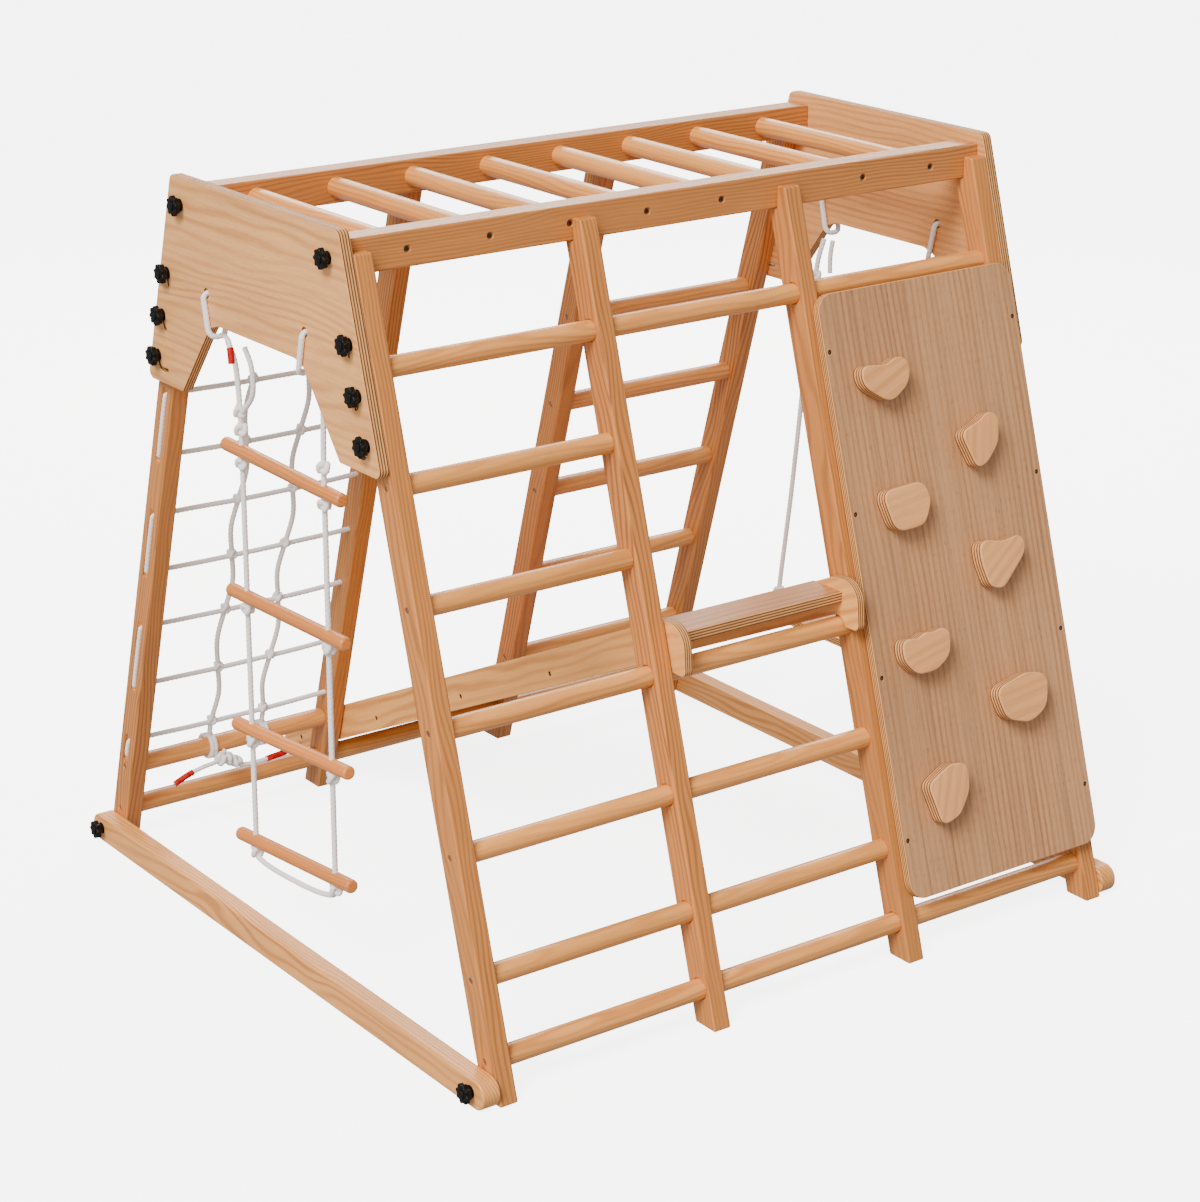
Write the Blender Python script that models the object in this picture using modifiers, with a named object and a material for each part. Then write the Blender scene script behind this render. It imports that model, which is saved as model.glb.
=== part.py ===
"""A wooden climbing frame with overhead bars, a slide, a climbing wall, a net, a rope ladder and a swing.

Metres. X runs along the overhead rails, Y from the climbing side (front) to the foot of the slide (rear),
and Z is up. The pieces are drawn around the middle of the leaning frames, and then everything is moved
along Y so that the origin is on the floor in the middle of the whole footprint.
"""

import math

import bmesh
import bpy
from mathutils import Matrix, Vector

# ---- Driving dimensions ----
GAP = 0.0003  # left between pieces that touch
WELD = 0.00002

STILE_SPAN = 1.16  # between the centres of the two end stiles
STILE_WIDTH = 0.031  # along X
STILE_DEPTH = 0.046  # square to the stile's length
STILE_TOP = 1.176
FOOT_Y = 0.5722  # a stile's centre line at the floor
LEAN = 0.2919  # how far a stile leans in for each metre of height

RAIL_Y, RAIL_Z = 0.2124, 1.1674
RAIL_WIDTH, RAIL_HEIGHT = 0.042, 0.054

DOWEL_RADIUS = 0.016
DOWEL_SIDES = 20
DOWEL_PLAY = 0.0006  # radial room of a dowel in a stile
BAR_COUNT = 8
BAR_FIRST_X, BAR_PITCH = -0.4946, 0.1413

FRONT_DOWEL_Z = (1.014, 0.853, 0.686, 0.5155, 0.3425, 0.171, 0.057)
FRONT_DOWEL_BAYS = (3, 1, 1, 2, 2, 2, 3)  # bays that each one spans, from the net's side
REAR_DOWEL_Z = (0.853, 0.686, 0.5155, 0.3425, 0.171)
NET_DOWEL_Z = 0.1425
REAR_FOOT_DOWEL_Z = 0.058

PANEL_THICKNESS = 0.018
PANEL_TOP, PANEL_FOOT = 1.211, 0.872
ARCH_TOP = 1.0
ROPE_HOLE_Y, ROPE_HOLE_Z, ROPE_HOLE_RADIUS = 0.143, 1.045, 0.0075

BASE_LENGTH, BASE_HEIGHT, BASE_WIDTH = 1.196, 0.046, 0.031

WALL_THICKNESS = 0.015
WALL_LEFT, WALL_LOW, WALL_HIGH = 0.192, 0.0911, 1.0474  # X, and distances up the lean
WALL_CORNER = 0.03
HOLD_THICKNESS = 0.025

SLIDE_HALF_WIDTH = 0.1755
SLIDE_BOARD = 0.015
SLIDE_SLOPE = 0.4685  # fall for each metre along Y
SLIDE_TOP_EDGE, SLIDE_LOW_EDGE = 0.4021, 0.3385  # heights of the side board's edges at Y = 0
SLIDE_END_Y = 0.722
SLIDE_BED_THICKNESS, SLIDE_BED_DROP = 0.012, 0.009
HOOK_REACH, HOOK_LIP = 0.0505, 0.004  # in front of the dowel's centre, and above it

ROPE_RADIUS = 0.004
NET_ROW_Z = (0.843, 0.733, 0.626, 0.521, 0.416, 0.302, 0.194)
NET_COLUMN_X = (-0.435, -0.333)
NET_WAVE = 0.008

LADDER_X, LADDER_ROPE_Y = -0.575, 0.121
LADDER_RUNG_Z = (0.795, 0.565, 0.350, 0.162)
LADDER_TILT = (0.8, -1.8, -5.0, -5.7)  # degrees, the rear ends sink as the ladder turns
LADDER_RUNG_LENGTH, LADDER_RUNG_RADIUS = 0.345, 0.011
HOLE_TURN = math.radians(6)  # keeps the corners of a rung's holes off the rung's own edges
LADDER_LOOP_DROP = 0.031  # the rope's hanging loop under the lowest rung

SWING_X, SWING_SEAT_Z, SWING_ROPE_Y = 0.575, 0.283, 0.218
SWING_SEAT_LENGTH, SWING_SEAT_WIDTH, SWING_SEAT_THICKNESS = 0.49, 0.102, 0.015
LOOP_LOW_Z, LOOP_LOW_Y = 0.9795, 0.131  # centre of the loops' lower turn
LOOP_OUT, LOOP_IN = 0.0135, 0.0245  # from the middle of the panel to the loop's two sides
HANG_X, HANG_Z = 0.587, 0.9755  # where the ladder and the swing hang, under the loops

# ---- Worked out from these ----
LEAN_ANGLE = math.atan(LEAN)
HALF_SPAN = STILE_SPAN / 2
STILE_X = [-HALF_SPAN + i * STILE_SPAN / 3 for i in range(4)]
STILE_REACH = STILE_DEPTH / 2 / math.cos(LEAN_ANGLE)  # half a stile's depth, level
END_FACE = HALF_SPAN + STILE_WIDTH / 2  # outer face of an end stile
SHIFT_Y = (BASE_LENGTH / 2 - SLIDE_END_Y) / 2
HOOK_Z = FRONT_DOWEL_Z[3]
ROPE_TOP = HANG_Z - 0.0048  # leaves the ropes room to turn under the loops

FINISHES = {
    "stile": ((0.56, 0.30, 0.12), 0.55),
    "rail": ((0.60, 0.33, 0.14), 0.55),
    "dowel": ((0.72, 0.45, 0.22), 0.45),
    "panel": ((0.63, 0.42, 0.26), 0.5),
    "wall": ((0.50, 0.30, 0.17), 0.55),
    "hold": ((0.56, 0.36, 0.22), 0.5),
    "slide": ((0.70, 0.45, 0.24), 0.35),
    "rope": ((0.66, 0.62, 0.60), 0.9),
    "seat": ((0.66, 0.42, 0.22), 0.45),
}


def clear_scene():
    """Remove whatever the start-up scene holds."""
    for obj in list(bpy.data.objects):
        bpy.data.objects.remove(obj, do_unlink=True)


def new_collection(name):
    made = bpy.data.collections.new(name)
    bpy.context.scene.collection.children.link(made)
    return made


def new_finish(name, colour, roughness):
    """A Principled material of one colour."""
    made = bpy.data.materials.new(name)
    made.use_nodes = True
    shader = made.node_tree.nodes["Principled BSDF"]
    shader.inputs["Base Color"].default_value = (*colour, 1.0)
    shader.inputs["Roughness"].default_value = roughness
    shader.inputs["Metallic"].default_value = 0.0
    return made


clear_scene()
PARTS = new_collection("climbing_frame")
CUTTERS = new_collection("cutters")
MATERIALS = {name: new_finish(name, *look) for name, look in FINISHES.items()}


def new_empty(name, place, parent=None):
    """An empty that holds a group of pieces, on its joint's axis if the group moves."""
    made = bpy.data.objects.new(name, None)
    made.empty_display_size = 0.1
    made.location = place
    made.parent = parent
    PARTS.objects.link(made)
    return made


ORIGIN = new_empty("frame_origin", (0, SHIFT_Y, 0))
SLIDE_PIVOT = new_empty("slide_pivot", (0, LEAN * HOOK_Z - FOOT_Y, HOOK_Z), ORIGIN)
LADDER_PIVOT = new_empty("ladder_pivot", (-HANG_X, 0, HANG_Z), ORIGIN)
SWING_PIVOT = new_empty("swing_pivot", (HANG_X, 0, HANG_Z), ORIGIN)


def keep(name, mesh, finish, place=None, group=ORIGIN):
    """Make a named piece of a mesh, and hang it on its group."""
    piece = bpy.data.objects.new(name, mesh)
    PARTS.objects.link(piece)
    piece.parent = group
    if group is not ORIGIN:
        piece.matrix_parent_inverse = Matrix.Translation(-group.location)
    piece.matrix_basis = place or Matrix.Identity(4)
    mesh.materials.clear()
    mesh.materials.append(MATERIALS[finish])
    mesh.shade_smooth()
    mesh.set_sharp_from_angle(angle=math.radians(35))
    return piece


def from_curve(name, curve):
    """The closed mesh of a filled or bevelled curve, with its caps welded on."""
    holder = bpy.data.objects.new(name + "_curve", curve)
    bpy.context.scene.collection.objects.link(holder)
    graph = bpy.context.evaluated_depsgraph_get()
    mesh = bpy.data.meshes.new_from_object(holder.evaluated_get(graph))
    mesh.name = name
    bpy.data.objects.remove(holder)
    welded = bmesh.new()
    welded.from_mesh(mesh)
    bmesh.ops.remove_doubles(welded, verts=welded.verts, dist=WELD)
    bmesh.ops.recalc_face_normals(welded, faces=welded.faces)
    welded.to_mesh(mesh)
    welded.free()
    return mesh


def flat_mesh(name, outlines, thickness, edge=0.0015):
    """A board: filled 2D outlines, the later ones holes, with its edges eased."""
    curve = bpy.data.curves.new(name, "CURVE")
    curve.dimensions = "2D"
    curve.fill_mode = "BOTH"
    curve.extrude = thickness / 2 - edge
    curve.bevel_depth = edge
    curve.bevel_resolution = 0
    curve.offset = -edge
    for outline in outlines:
        spline = curve.splines.new("POLY")
        spline.points.add(len(outline) - 1)
        for point, (x, y) in zip(spline.points, outline):
            point.co = (x, y, 0, 1)
        spline.use_cyclic_u = True
    return from_curve(name, curve)


def rounded(corners, steps=4):
    """The outline through corners (x, y, radius), each rounded with an arc."""
    outline = []
    for i, (x, y, radius) in enumerate(corners):
        here = Vector((x, y))
        before = (Vector(corners[i - 1][:2]) - here).normalized()
        after = (Vector(corners[(i + 1) % len(corners)][:2]) - here).normalized()
        if radius == 0:
            outline.append(here)
            continue
        half = before.angle(after) / 2
        centre = here + (before + after).normalized() * radius / math.sin(half)
        start = here + before * radius / math.tan(half) - centre
        turn = math.copysign(math.pi - 2 * half, -before.cross(after))
        for step in range(steps + 1):
            outline.append(centre + Matrix.Rotation(turn * step / steps, 2) @ start)
    return outline


def circle(x, y, radius, sides=DOWEL_SIDES):
    turns = [2 * math.pi * i / sides for i in range(sides)]
    return [(x + radius * math.cos(t), y + radius * math.sin(t)) for t in turns]


def upright(x):
    """Places an outline drawn in (Y, Z) at this X."""
    return Matrix(((0, 0, 1, x), (1, 0, 0, 0), (0, 1, 0, 0), (0, 0, 0, 1)))


def leaning(out):
    """Places an outline drawn in (X, up the lean), this far out from the front stiles' centre lines."""
    rise, fall = math.cos(LEAN_ANGLE), math.sin(LEAN_ANGLE)
    return Matrix(((1, 0, 0, 0), (0, fall, -rise, -FOOT_Y - out * rise), (0, rise, fall, out * fall), (0, 0, 0, 1)))


def box_mesh(name, size):
    """A box around the origin."""
    mesh = bpy.data.meshes.new(name)
    box = bmesh.new()
    bmesh.ops.create_cube(box, size=1.0)
    bmesh.ops.scale(box, vec=size, verts=box.verts)
    box.to_mesh(mesh)
    box.free()
    return mesh


def ease(piece, width, segments=2):
    """Round a piece's sharp edges."""
    bevel = piece.modifiers.new("eased_edges", "BEVEL")
    bevel.width = width
    bevel.segments = segments
    bevel.limit_method = "ANGLE"


def rod_mesh(name, radius, length, sides):
    mesh = bpy.data.meshes.new(name)
    rod = bmesh.new()
    bmesh.ops.create_cone(rod, cap_ends=True, segments=sides, radius1=radius, radius2=radius, depth=length)
    rod.to_mesh(mesh)
    rod.free()
    return mesh


def along(start, end):
    """Places a rod drawn along Z between two points."""
    start, end = Vector(start), Vector(end)
    turn = (end - start).to_track_quat("Z", "X").to_matrix().to_4x4()
    return Matrix.Translation((start + end) / 2) @ turn


def dowel(name, start, end, radius=DOWEL_RADIUS, group=ORIGIN):
    length = (Vector(end) - Vector(start)).length
    return keep(name, rod_mesh(name, radius, length, DOWEL_SIDES), "dowel", along(start, end), group)


def rope_mesh(name, points, closed=False):
    """A round rope through the points."""
    curve = bpy.data.curves.new(name, "CURVE")
    curve.dimensions = "3D"
    curve.bevel_depth = ROPE_RADIUS
    curve.bevel_resolution = 2
    curve.use_fill_caps = not closed
    spline = curve.splines.new("POLY")
    spline.points.add(len(points) - 1)
    for point, place in zip(spline.points, points):
        point.co = (*place, 1)
    spline.use_cyclic_u = closed
    return from_curve(name, curve)


def smooth_route(stops, pieces):
    """Points along a smooth curve through the stops, this many for each stretch."""
    stops = [Vector(stop) for stop in stops]
    ends = [2 * stops[0] - stops[1]] + stops + [2 * stops[-1] - stops[-2]]
    route = []
    for a, b, c, d in zip(ends, ends[1:], ends[2:], ends[3:]):
        for i in range(pieces):
            t = i / pieces
            route.append(0.5 * (2 * b + (c - a) * t + (2 * a - 5 * b + 4 * c - d) * t**2
                                + (3 * b - a - 3 * c + d) * t**3))
    return route + [stops[-1]]


def modified(piece, operation, other):
    """Put a Boolean on a piece. The other mesh goes with the cutters."""
    boolean = piece.modifiers.new(other.name, "BOOLEAN")
    boolean.operation = operation
    boolean.solver = "EXACT"
    boolean.object = other


def cutter(name, mesh, place, parent):
    made = bpy.data.objects.new(name, mesh)
    CUTTERS.objects.link(made)
    made.parent = parent
    if parent is not ORIGIN:
        made.matrix_parent_inverse = Matrix.Translation(-parent.location)
    made.matrix_basis = place
    made.hide_render = True
    made.display_type = "WIRE"
    return made


def stile_y(z):
    """Distance of a stile's centre line from the middle of the frame."""
    return FOOT_Y - LEAN * z


# ---- The leaning frames ----
def stile(name, x, side, dowel_heights):
    """A leaning stile: its feet and top are level, and its inner side is notched for the rail."""
    seat = RAIL_Z - RAIL_HEIGHT / 2 - GAP
    notch = RAIL_Y + RAIL_WIDTH / 2 + GAP
    corners = [
        (stile_y(0) + STILE_REACH, 0, 0),
        (stile_y(STILE_TOP) + STILE_REACH, STILE_TOP, 0),
        (notch, STILE_TOP, 0),
        (notch, seat, 0),
        (stile_y(seat) - STILE_REACH, seat, 0),
        (stile_y(0) - STILE_REACH, 0, 0),
    ]
    outlines = [[(side * y, z) for y, z, _ in corners]]
    for z in dowel_heights:
        outlines.append(circle(side * stile_y(z), z, DOWEL_RADIUS + DOWEL_PLAY))
    keep(name, flat_mesh(name, outlines, STILE_WIDTH), "stile", upright(x))


def stiles():
    through = {0: [], 1: [], 2: [], 3: []}
    for z, bays in zip(FRONT_DOWEL_Z, FRONT_DOWEL_BAYS):
        for passed in range(1, bays):
            through[passed].append(z)
    for i, x in enumerate(STILE_X):
        stile(f"front_stile_{i + 1}", x, -1, through[i])
        stile(f"rear_stile_{i + 1}", x, 1, [REAR_FOOT_DOWEL_Z] if 0 < i < 3 else [])


def bay_dowel(name, side, z, first, last):
    """A dowel between the inner faces of stiles number first and last, through any between them."""
    y = side * stile_y(z)
    start = STILE_X[first] + STILE_WIDTH / 2 + GAP
    end = STILE_X[last] - STILE_WIDTH / 2 - GAP
    dowel(name, (start, y, z), (end, y, z))


def side_dowels():
    for i, (z, bays) in enumerate(zip(FRONT_DOWEL_Z, FRONT_DOWEL_BAYS)):
        bay_dowel(f"front_dowel_{i + 1}", -1, z, 0, bays)
    for i, z in enumerate(REAR_DOWEL_Z):
        bay_dowel(f"rear_dowel_{i + 1}", 1, z, 2, 3)
    bay_dowel("net_dowel", 1, NET_DOWEL_Z, 0, 1)
    bay_dowel("rear_foot_dowel", 1, REAR_FOOT_DOWEL_Z, 0, 3)


# ---- The overhead bars ----
def rails_and_bars():
    for name, side in (("front_rail", -1), ("rear_rail", 1)):
        mesh = box_mesh(name, (2 * END_FACE, RAIL_WIDTH, RAIL_HEIGHT))
        ease(keep(name, mesh, "rail", Matrix.Translation((0, side * RAIL_Y, RAIL_Z))), 0.003)
    reach = RAIL_Y - RAIL_WIDTH / 2 - GAP
    for i in range(BAR_COUNT):
        x = BAR_FIRST_X + i * BAR_PITCH
        dowel(f"monkey_bar_{i + 1}", (x, -reach, RAIL_Z), (x, reach, RAIL_Z))


# ---- The ends ----
def end_panel(name, side):
    """A plywood end: it follows the stiles down to two lobes, with an arch between them."""
    edge = FOOT_Y + STILE_REACH
    half = [
        (edge - LEAN * PANEL_TOP, PANEL_TOP, 0.012),
        (edge - LEAN * PANEL_FOOT, PANEL_FOOT, 0.012),
        (0.2305, PANEL_FOOT, 0.006),
        (0.138, 0.991, 0.02),
        (0.112, ARCH_TOP, 0.02),
    ]
    mirrored = [(-y, z, radius) for y, z, radius in reversed(half)]
    outlines = [rounded(half + mirrored)]
    for hole_side in (-1, 1):
        outlines.append(circle(hole_side * ROPE_HOLE_Y, ROPE_HOLE_Z, ROPE_HOLE_RADIUS, 16))
    x = side * (END_FACE + GAP + PANEL_THICKNESS / 2)
    keep(name, flat_mesh(name, outlines, PANEL_THICKNESS), "panel", upright(x))


def base_rail(name, side):
    """A bottom rail with round ends, outside the feet of an end frame."""
    reach, radius = BASE_LENGTH / 2, BASE_HEIGHT / 2 - 0.0001
    corners = [(reach, 0), (reach, BASE_HEIGHT), (-reach, BASE_HEIGHT), (-reach, 0)]
    outline = rounded([(y, z, radius) for y, z in corners], 6)
    x = side * (END_FACE + GAP + BASE_WIDTH / 2)
    keep(name, flat_mesh(name, [outline], BASE_WIDTH, 0.002), "rail", upright(x))


# ---- The climbing wall ----
# Each hold: its middle along X and up the lean, and its corners around that with their radii.
HOLDS = {
    "hold_bean": (0.2857, 0.8995, [(-0.050, 0.031, 0.012), (0.003, 0.024, 0.010), (0.024, 0.034, 0.012),
                                   (0.052, 0.029, 0.016), (0.044, -0.010, 0.020), (-0.002, -0.037, 0.018),
                                   (-0.046, -0.002, 0.020)]),
    "hold_wedge": (0.462, 0.7761, [(-0.044, 0.019, 0.010), (-0.004, 0.031, 0.020), (0.018, 0.044, 0.012),
                                   (0.040, 0.034, 0.010), (0.032, -0.008, 0.030), (0.003, -0.036, 0.020),
                                   (-0.020, -0.044, 0.009)]),
    "hold_trapezoid": (0.287, 0.6992, [(-0.047, 0.033, 0.014), (0.038, 0.036, 0.016), (0.052, 0.006, 0.030),
                                       (0.030, -0.033, 0.022), (-0.030, -0.035, 0.022)]),
    "hold_heart": (0.4697, 0.5806, [(-0.051, 0.043, 0.014), (0.0, 0.031, 0.012), (0.048, 0.038, 0.015),
                                    (0.044, 0.006, 0.030), (-0.013, -0.044, 0.014), (-0.040, -0.036, 0.014),
                                    (-0.050, 0.004, 0.040)]),
    "hold_cloud": (0.2802, 0.4717, [(-0.048, 0.030, 0.012), (-0.012, 0.024, 0.006), (0.000, 0.032, 0.010),
                                    (0.020, 0.027, 0.006), (0.030, 0.032, 0.010), (0.053, 0.028, 0.012),
                                    (0.046, -0.014, 0.026), (0.014, -0.032, 0.026), (-0.026, -0.032, 0.022),
                                    (-0.048, -0.006, 0.020)]),
    "hold_dome": (0.4632, 0.3576, [(-0.056, 0.026, 0.014), (0.012, 0.040, 0.040), (0.058, 0.030, 0.018),
                                   (0.046, -0.024, 0.030), (0.006, -0.041, 0.030), (-0.042, -0.026, 0.026)]),
    "hold_triangle": (0.2858, 0.2457, [(-0.046, 0.023, 0.010), (0.004, 0.045, 0.020), (0.041, 0.040, 0.014),
                                       (0.036, -0.004, 0.030), (0.010, -0.038, 0.024), (-0.028, -0.048, 0.010)]),
}


def climbing_wall():
    middle = STILE_DEPTH / 2 + GAP + WALL_THICKNESS / 2
    left, right = WALL_LEFT, END_FACE
    corners = [(left, WALL_LOW), (right, WALL_LOW), (right, WALL_HIGH), (left, WALL_HIGH)]
    outline = rounded([(x, up, WALL_CORNER) for x, up in corners], 6)
    keep("climbing_wall", flat_mesh("climbing_wall", [outline], WALL_THICKNESS), "wall", leaning(middle))
    out = STILE_DEPTH / 2 + WALL_THICKNESS + 2 * GAP + HOLD_THICKNESS / 2
    for name, (x, up, corners) in HOLDS.items():
        outline = rounded([(x + dx, up + du, radius) for dx, du, radius in corners], 3)
        keep(name, flat_mesh(name, [outline], HOLD_THICKNESS), "hold", leaning(out))


# ---- The slide ----
def slide_line(height, y):
    """A line that falls along the slide, by its height at Y = 0."""
    return height - SLIDE_SLOPE * y


def slide_side(name, side):
    """A plywood side whose top end hooks over a front dowel."""
    fall = math.atan(SLIDE_SLOPE)
    hook_y = -stile_y(HOOK_Z)
    notch = (slide_line(SLIDE_LOW_EDGE, hook_y) - HOOK_Z) * math.cos(fall)
    front = hook_y - HOOK_REACH
    lip = HOOK_Z + HOOK_LIP
    first = math.pi - math.asin(HOOK_LIP / notch)
    last = math.pi / 2 - fall
    turns = [first + (last - first) * i / 8 for i in range(9)]
    corners = [
        (SLIDE_END_Y, 0, 0),
        (SLIDE_END_Y - 0.004, slide_line(SLIDE_TOP_EDGE, SLIDE_END_Y - 0.004), 0.018),
        (hook_y + 0.012, slide_line(SLIDE_TOP_EDGE, hook_y + 0.012), 0.035),
        (front + 0.006, HOOK_Z + 0.084, 0.035),
        (front, lip, 0.010),
        *[(hook_y + notch * math.cos(t), HOOK_Z + notch * math.sin(t), 0) for t in turns],
    ]
    mesh = flat_mesh(name, [rounded(corners, 5)], SLIDE_BOARD)
    x = side * (SLIDE_HALF_WIDTH - SLIDE_BOARD / 2)
    keep(name, mesh, "slide", upright(x), SLIDE_PIVOT)


def slide():
    slide_side("slide_side_left", -1)
    slide_side("slide_side_right", 1)
    inner = SLIDE_HALF_WIDTH - SLIDE_BOARD - GAP
    angle = math.atan(SLIDE_SLOPE)
    start, end = -0.372, 0.700
    height = (SLIDE_TOP_EDGE + SLIDE_LOW_EDGE) / 2 - SLIDE_BED_DROP
    mesh = box_mesh("slide_bed", (2 * inner, (end - start) / math.cos(angle), SLIDE_BED_THICKNESS))
    middle = (start + end) / 2
    place = Matrix.Translation((0, middle, slide_line(height, middle))) @ Matrix.Rotation(-angle, 4, "X")
    ease(keep("slide_bed", mesh, "slide", place, SLIDE_PIVOT), 0.002)
    mesh = box_mesh("slide_entry_board", (2 * inner, 0.068, 0.018))
    place = Matrix.Translation((0, -0.398, 0.566))
    ease(keep("slide_entry_board", mesh, "slide", place, SLIDE_PIVOT), 0.002)


# ---- The rope pieces ----
def hanging_loop(name, end_side, y_side):
    """The rope's loop through a panel's hole and round the edge of its arch."""
    middle = END_FACE + GAP + PANEL_THICKNESS / 2
    outer, inner = end_side * (middle + LOOP_OUT), end_side * (middle - LOOP_IN)
    low, high = LOOP_LOW_Z, ROPE_HOLE_Z
    corners = [(outer, low), (inner, low), (inner, high), (outer, high)]
    outline = rounded([(x, z, 0.009) for x, z in corners], 4)
    points = []
    for x, z in outline:
        y = LOOP_LOW_Y + (ROPE_HOLE_Y - LOOP_LOW_Y) * (z - low) / (high - low)
        points.append((x, y_side * y, z))
    keep(name, rope_mesh(name, points, closed=True), "rope")


def rung_place(i):
    """The middle of a ladder rung, and its direction towards the rear."""
    tilt = math.radians(LADDER_TILT[i])
    return Vector((LADDER_X, 0, LADDER_RUNG_Z[i])), Vector((0, math.cos(tilt), math.sin(tilt)))


def rope_ladder():
    """Four rungs on one rope that runs down through their holes, under the lowest and up again."""
    left, right = [], []
    for i in range(len(LADDER_RUNG_Z)):
        middle, direction = rung_place(i)
        name = f"ladder_rung_{i + 1}"
        half = direction * LADDER_RUNG_LENGTH / 2
        rung = dowel(name, middle - half, middle + half, LADDER_RUNG_RADIUS, LADDER_PIVOT)
        ease(rung, 0.004)
        for strand, side in ((left, 1), (right, -1)):
            crossing = middle + direction * (side * LADDER_ROPE_Y / direction.y)
            strand.append(crossing)
            hole = rod_mesh(f"{name}_hole", ROPE_RADIUS + 0.0012, 0.04, 16)
            place = Matrix.Translation(crossing) @ Matrix.Rotation(HOLE_TURN, 4, "Z")
            modified(rung, "DIFFERENCE", cutter(f"{name}_hole_{side}", hole, place, LADDER_PIVOT))
    stops = [(-HANG_X, LOOP_LOW_Y, ROPE_TOP), (LADDER_X - 0.002, 0.127, 0.93), (LADDER_X, 0.122, 0.86)]
    stops += down_through(left)
    for share, sag in ((0.86, 0.0), (0.4, 0.006), (-0.4, 0.007), (-0.86, 0.001)):
        crossing = left[-1].lerp(right[-1], (1 - share) / 2)
        stops.append((LADDER_X, LADDER_ROPE_Y * share, crossing.z - LADDER_LOOP_DROP - sag))
    stops += down_through(right)[::-1]
    stops += [(LADDER_X, -0.122, 0.86), (LADDER_X - 0.002, -0.127, 0.93), (-HANG_X, -LOOP_LOW_Y, ROPE_TOP)]
    keep("ladder_rope", rope_mesh("ladder_rope", smooth_route(stops, 2)), "rope", None, LADDER_PIVOT)


def down_through(crossings):
    """Stops just above and below each rung, so that the rope is straight in the rungs' holes."""
    stops = []
    for place in crossings:
        for rise in (0.02, -0.02):
            stops.append(place + Vector((0, 0, rise)))
    return stops


def swing():
    """A plank seat on one rope that runs down, under the seat and up again."""
    length, width = SWING_SEAT_LENGTH / 2, SWING_SEAT_WIDTH / 2
    corners = [(width, -length), (width, length), (-width, length), (-width, -length)]
    outline = rounded([(x, y, 0.03) for x, y in corners], 5)
    holes = [circle(0, side * SWING_ROPE_Y, ROPE_RADIUS + 0.0014, 16) for side in (-1, 1)]
    mesh = flat_mesh("swing_seat", [outline] + holes, SWING_SEAT_THICKNESS)
    keep("swing_seat", mesh, "seat", Matrix.Translation((SWING_X, 0, SWING_SEAT_Z)), SWING_PIVOT)
    half = [(HANG_X, LOOP_LOW_Y, ROPE_TOP), (SWING_X + 0.002, 0.136, 0.925)]
    for y, z in ((0.150, 0.82), (0.166, 0.69), (0.190, 0.50), (SWING_ROPE_Y - 0.002, SWING_SEAT_Z + 0.045),
                 (SWING_ROPE_Y, SWING_SEAT_Z + 0.018), (SWING_ROPE_Y, SWING_SEAT_Z - 0.012),
                 (SWING_ROPE_Y - 0.012, SWING_SEAT_Z - 0.023), (SWING_ROPE_Y - 0.06, SWING_SEAT_Z - 0.025)):
        half.append((SWING_X, y, z))
    stops = half + [(x, -y, z) for x, y, z in reversed(half)]
    keep("swing_rope", rope_mesh("swing_rope", smooth_route(stops, 3)), "rope", None, SWING_PIVOT)


def net():
    """Seven level ropes between two rear stiles, and two upright ones that they are tied to."""
    start = STILE_X[0] + STILE_WIDTH / 2 + GAP
    end = STILE_X[1] - STILE_WIDTH / 2 - GAP
    first = NET_ROW_Z[0]
    joined = keep("net", rope_mesh("net", [(start, stile_y(first), first), (end, stile_y(first), first)]), "rope")
    for i, z in enumerate(NET_ROW_Z[1:]):
        row = rope_mesh(f"net_row_{i + 2}", [(start, stile_y(z), z), (end, stile_y(z), z)])
        modified(joined, "UNION", cutter(row.name, row, Matrix.Identity(4), ORIGIN))
    bottom = NET_DOWEL_Z + DOWEL_RADIUS + ROPE_RADIUS
    for i, x in enumerate(NET_COLUMN_X):
        points = [(x, stile_y(first + 0.012), first + 0.012)]
        for k, z in enumerate(NET_ROW_Z[:-1]):
            lower = NET_ROW_Z[k + 1]
            wave = NET_WAVE * (1 if (k + i) % 2 else -1)
            points.append((x, stile_y(z), z))
            points.append((x + wave, stile_y((z + lower) / 2), (z + lower) / 2))
        points.append((x, stile_y(NET_ROW_Z[-1]), NET_ROW_Z[-1]))
        points.append((x, stile_y(bottom), bottom + GAP * 2))
        column = rope_mesh(f"net_column_{i + 1}", points)
        modified(joined, "UNION", cutter(column.name, column, Matrix.Identity(4), ORIGIN))


def build():
    stiles()
    side_dowels()
    rails_and_bars()
    end_panel("left_end_panel", -1)
    end_panel("right_end_panel", 1)
    base_rail("left_base_rail", -1)
    base_rail("right_base_rail", 1)
    climbing_wall()
    slide()
    for y_side, word in ((1, "rear"), (-1, "front")):
        hanging_loop(f"ladder_loop_{word}", -1, y_side)
        hanging_loop(f"swing_loop_{word}", 1, y_side)
    rope_ladder()
    swing()
    net()


build()
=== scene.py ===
"""The looks of a wooden climbing frame with overhead bars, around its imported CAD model.

Metres. X runs along the overhead rails, Y from the climbing side (front) to the foot of the slide (rear),
and Z is up. Boards are drawn flat around their own middle and then placed, so that a material can follow
each board's own grain and its layers.
"""

import math

import bmesh
import bpy
from mathutils import Matrix, Vector, noise


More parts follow.
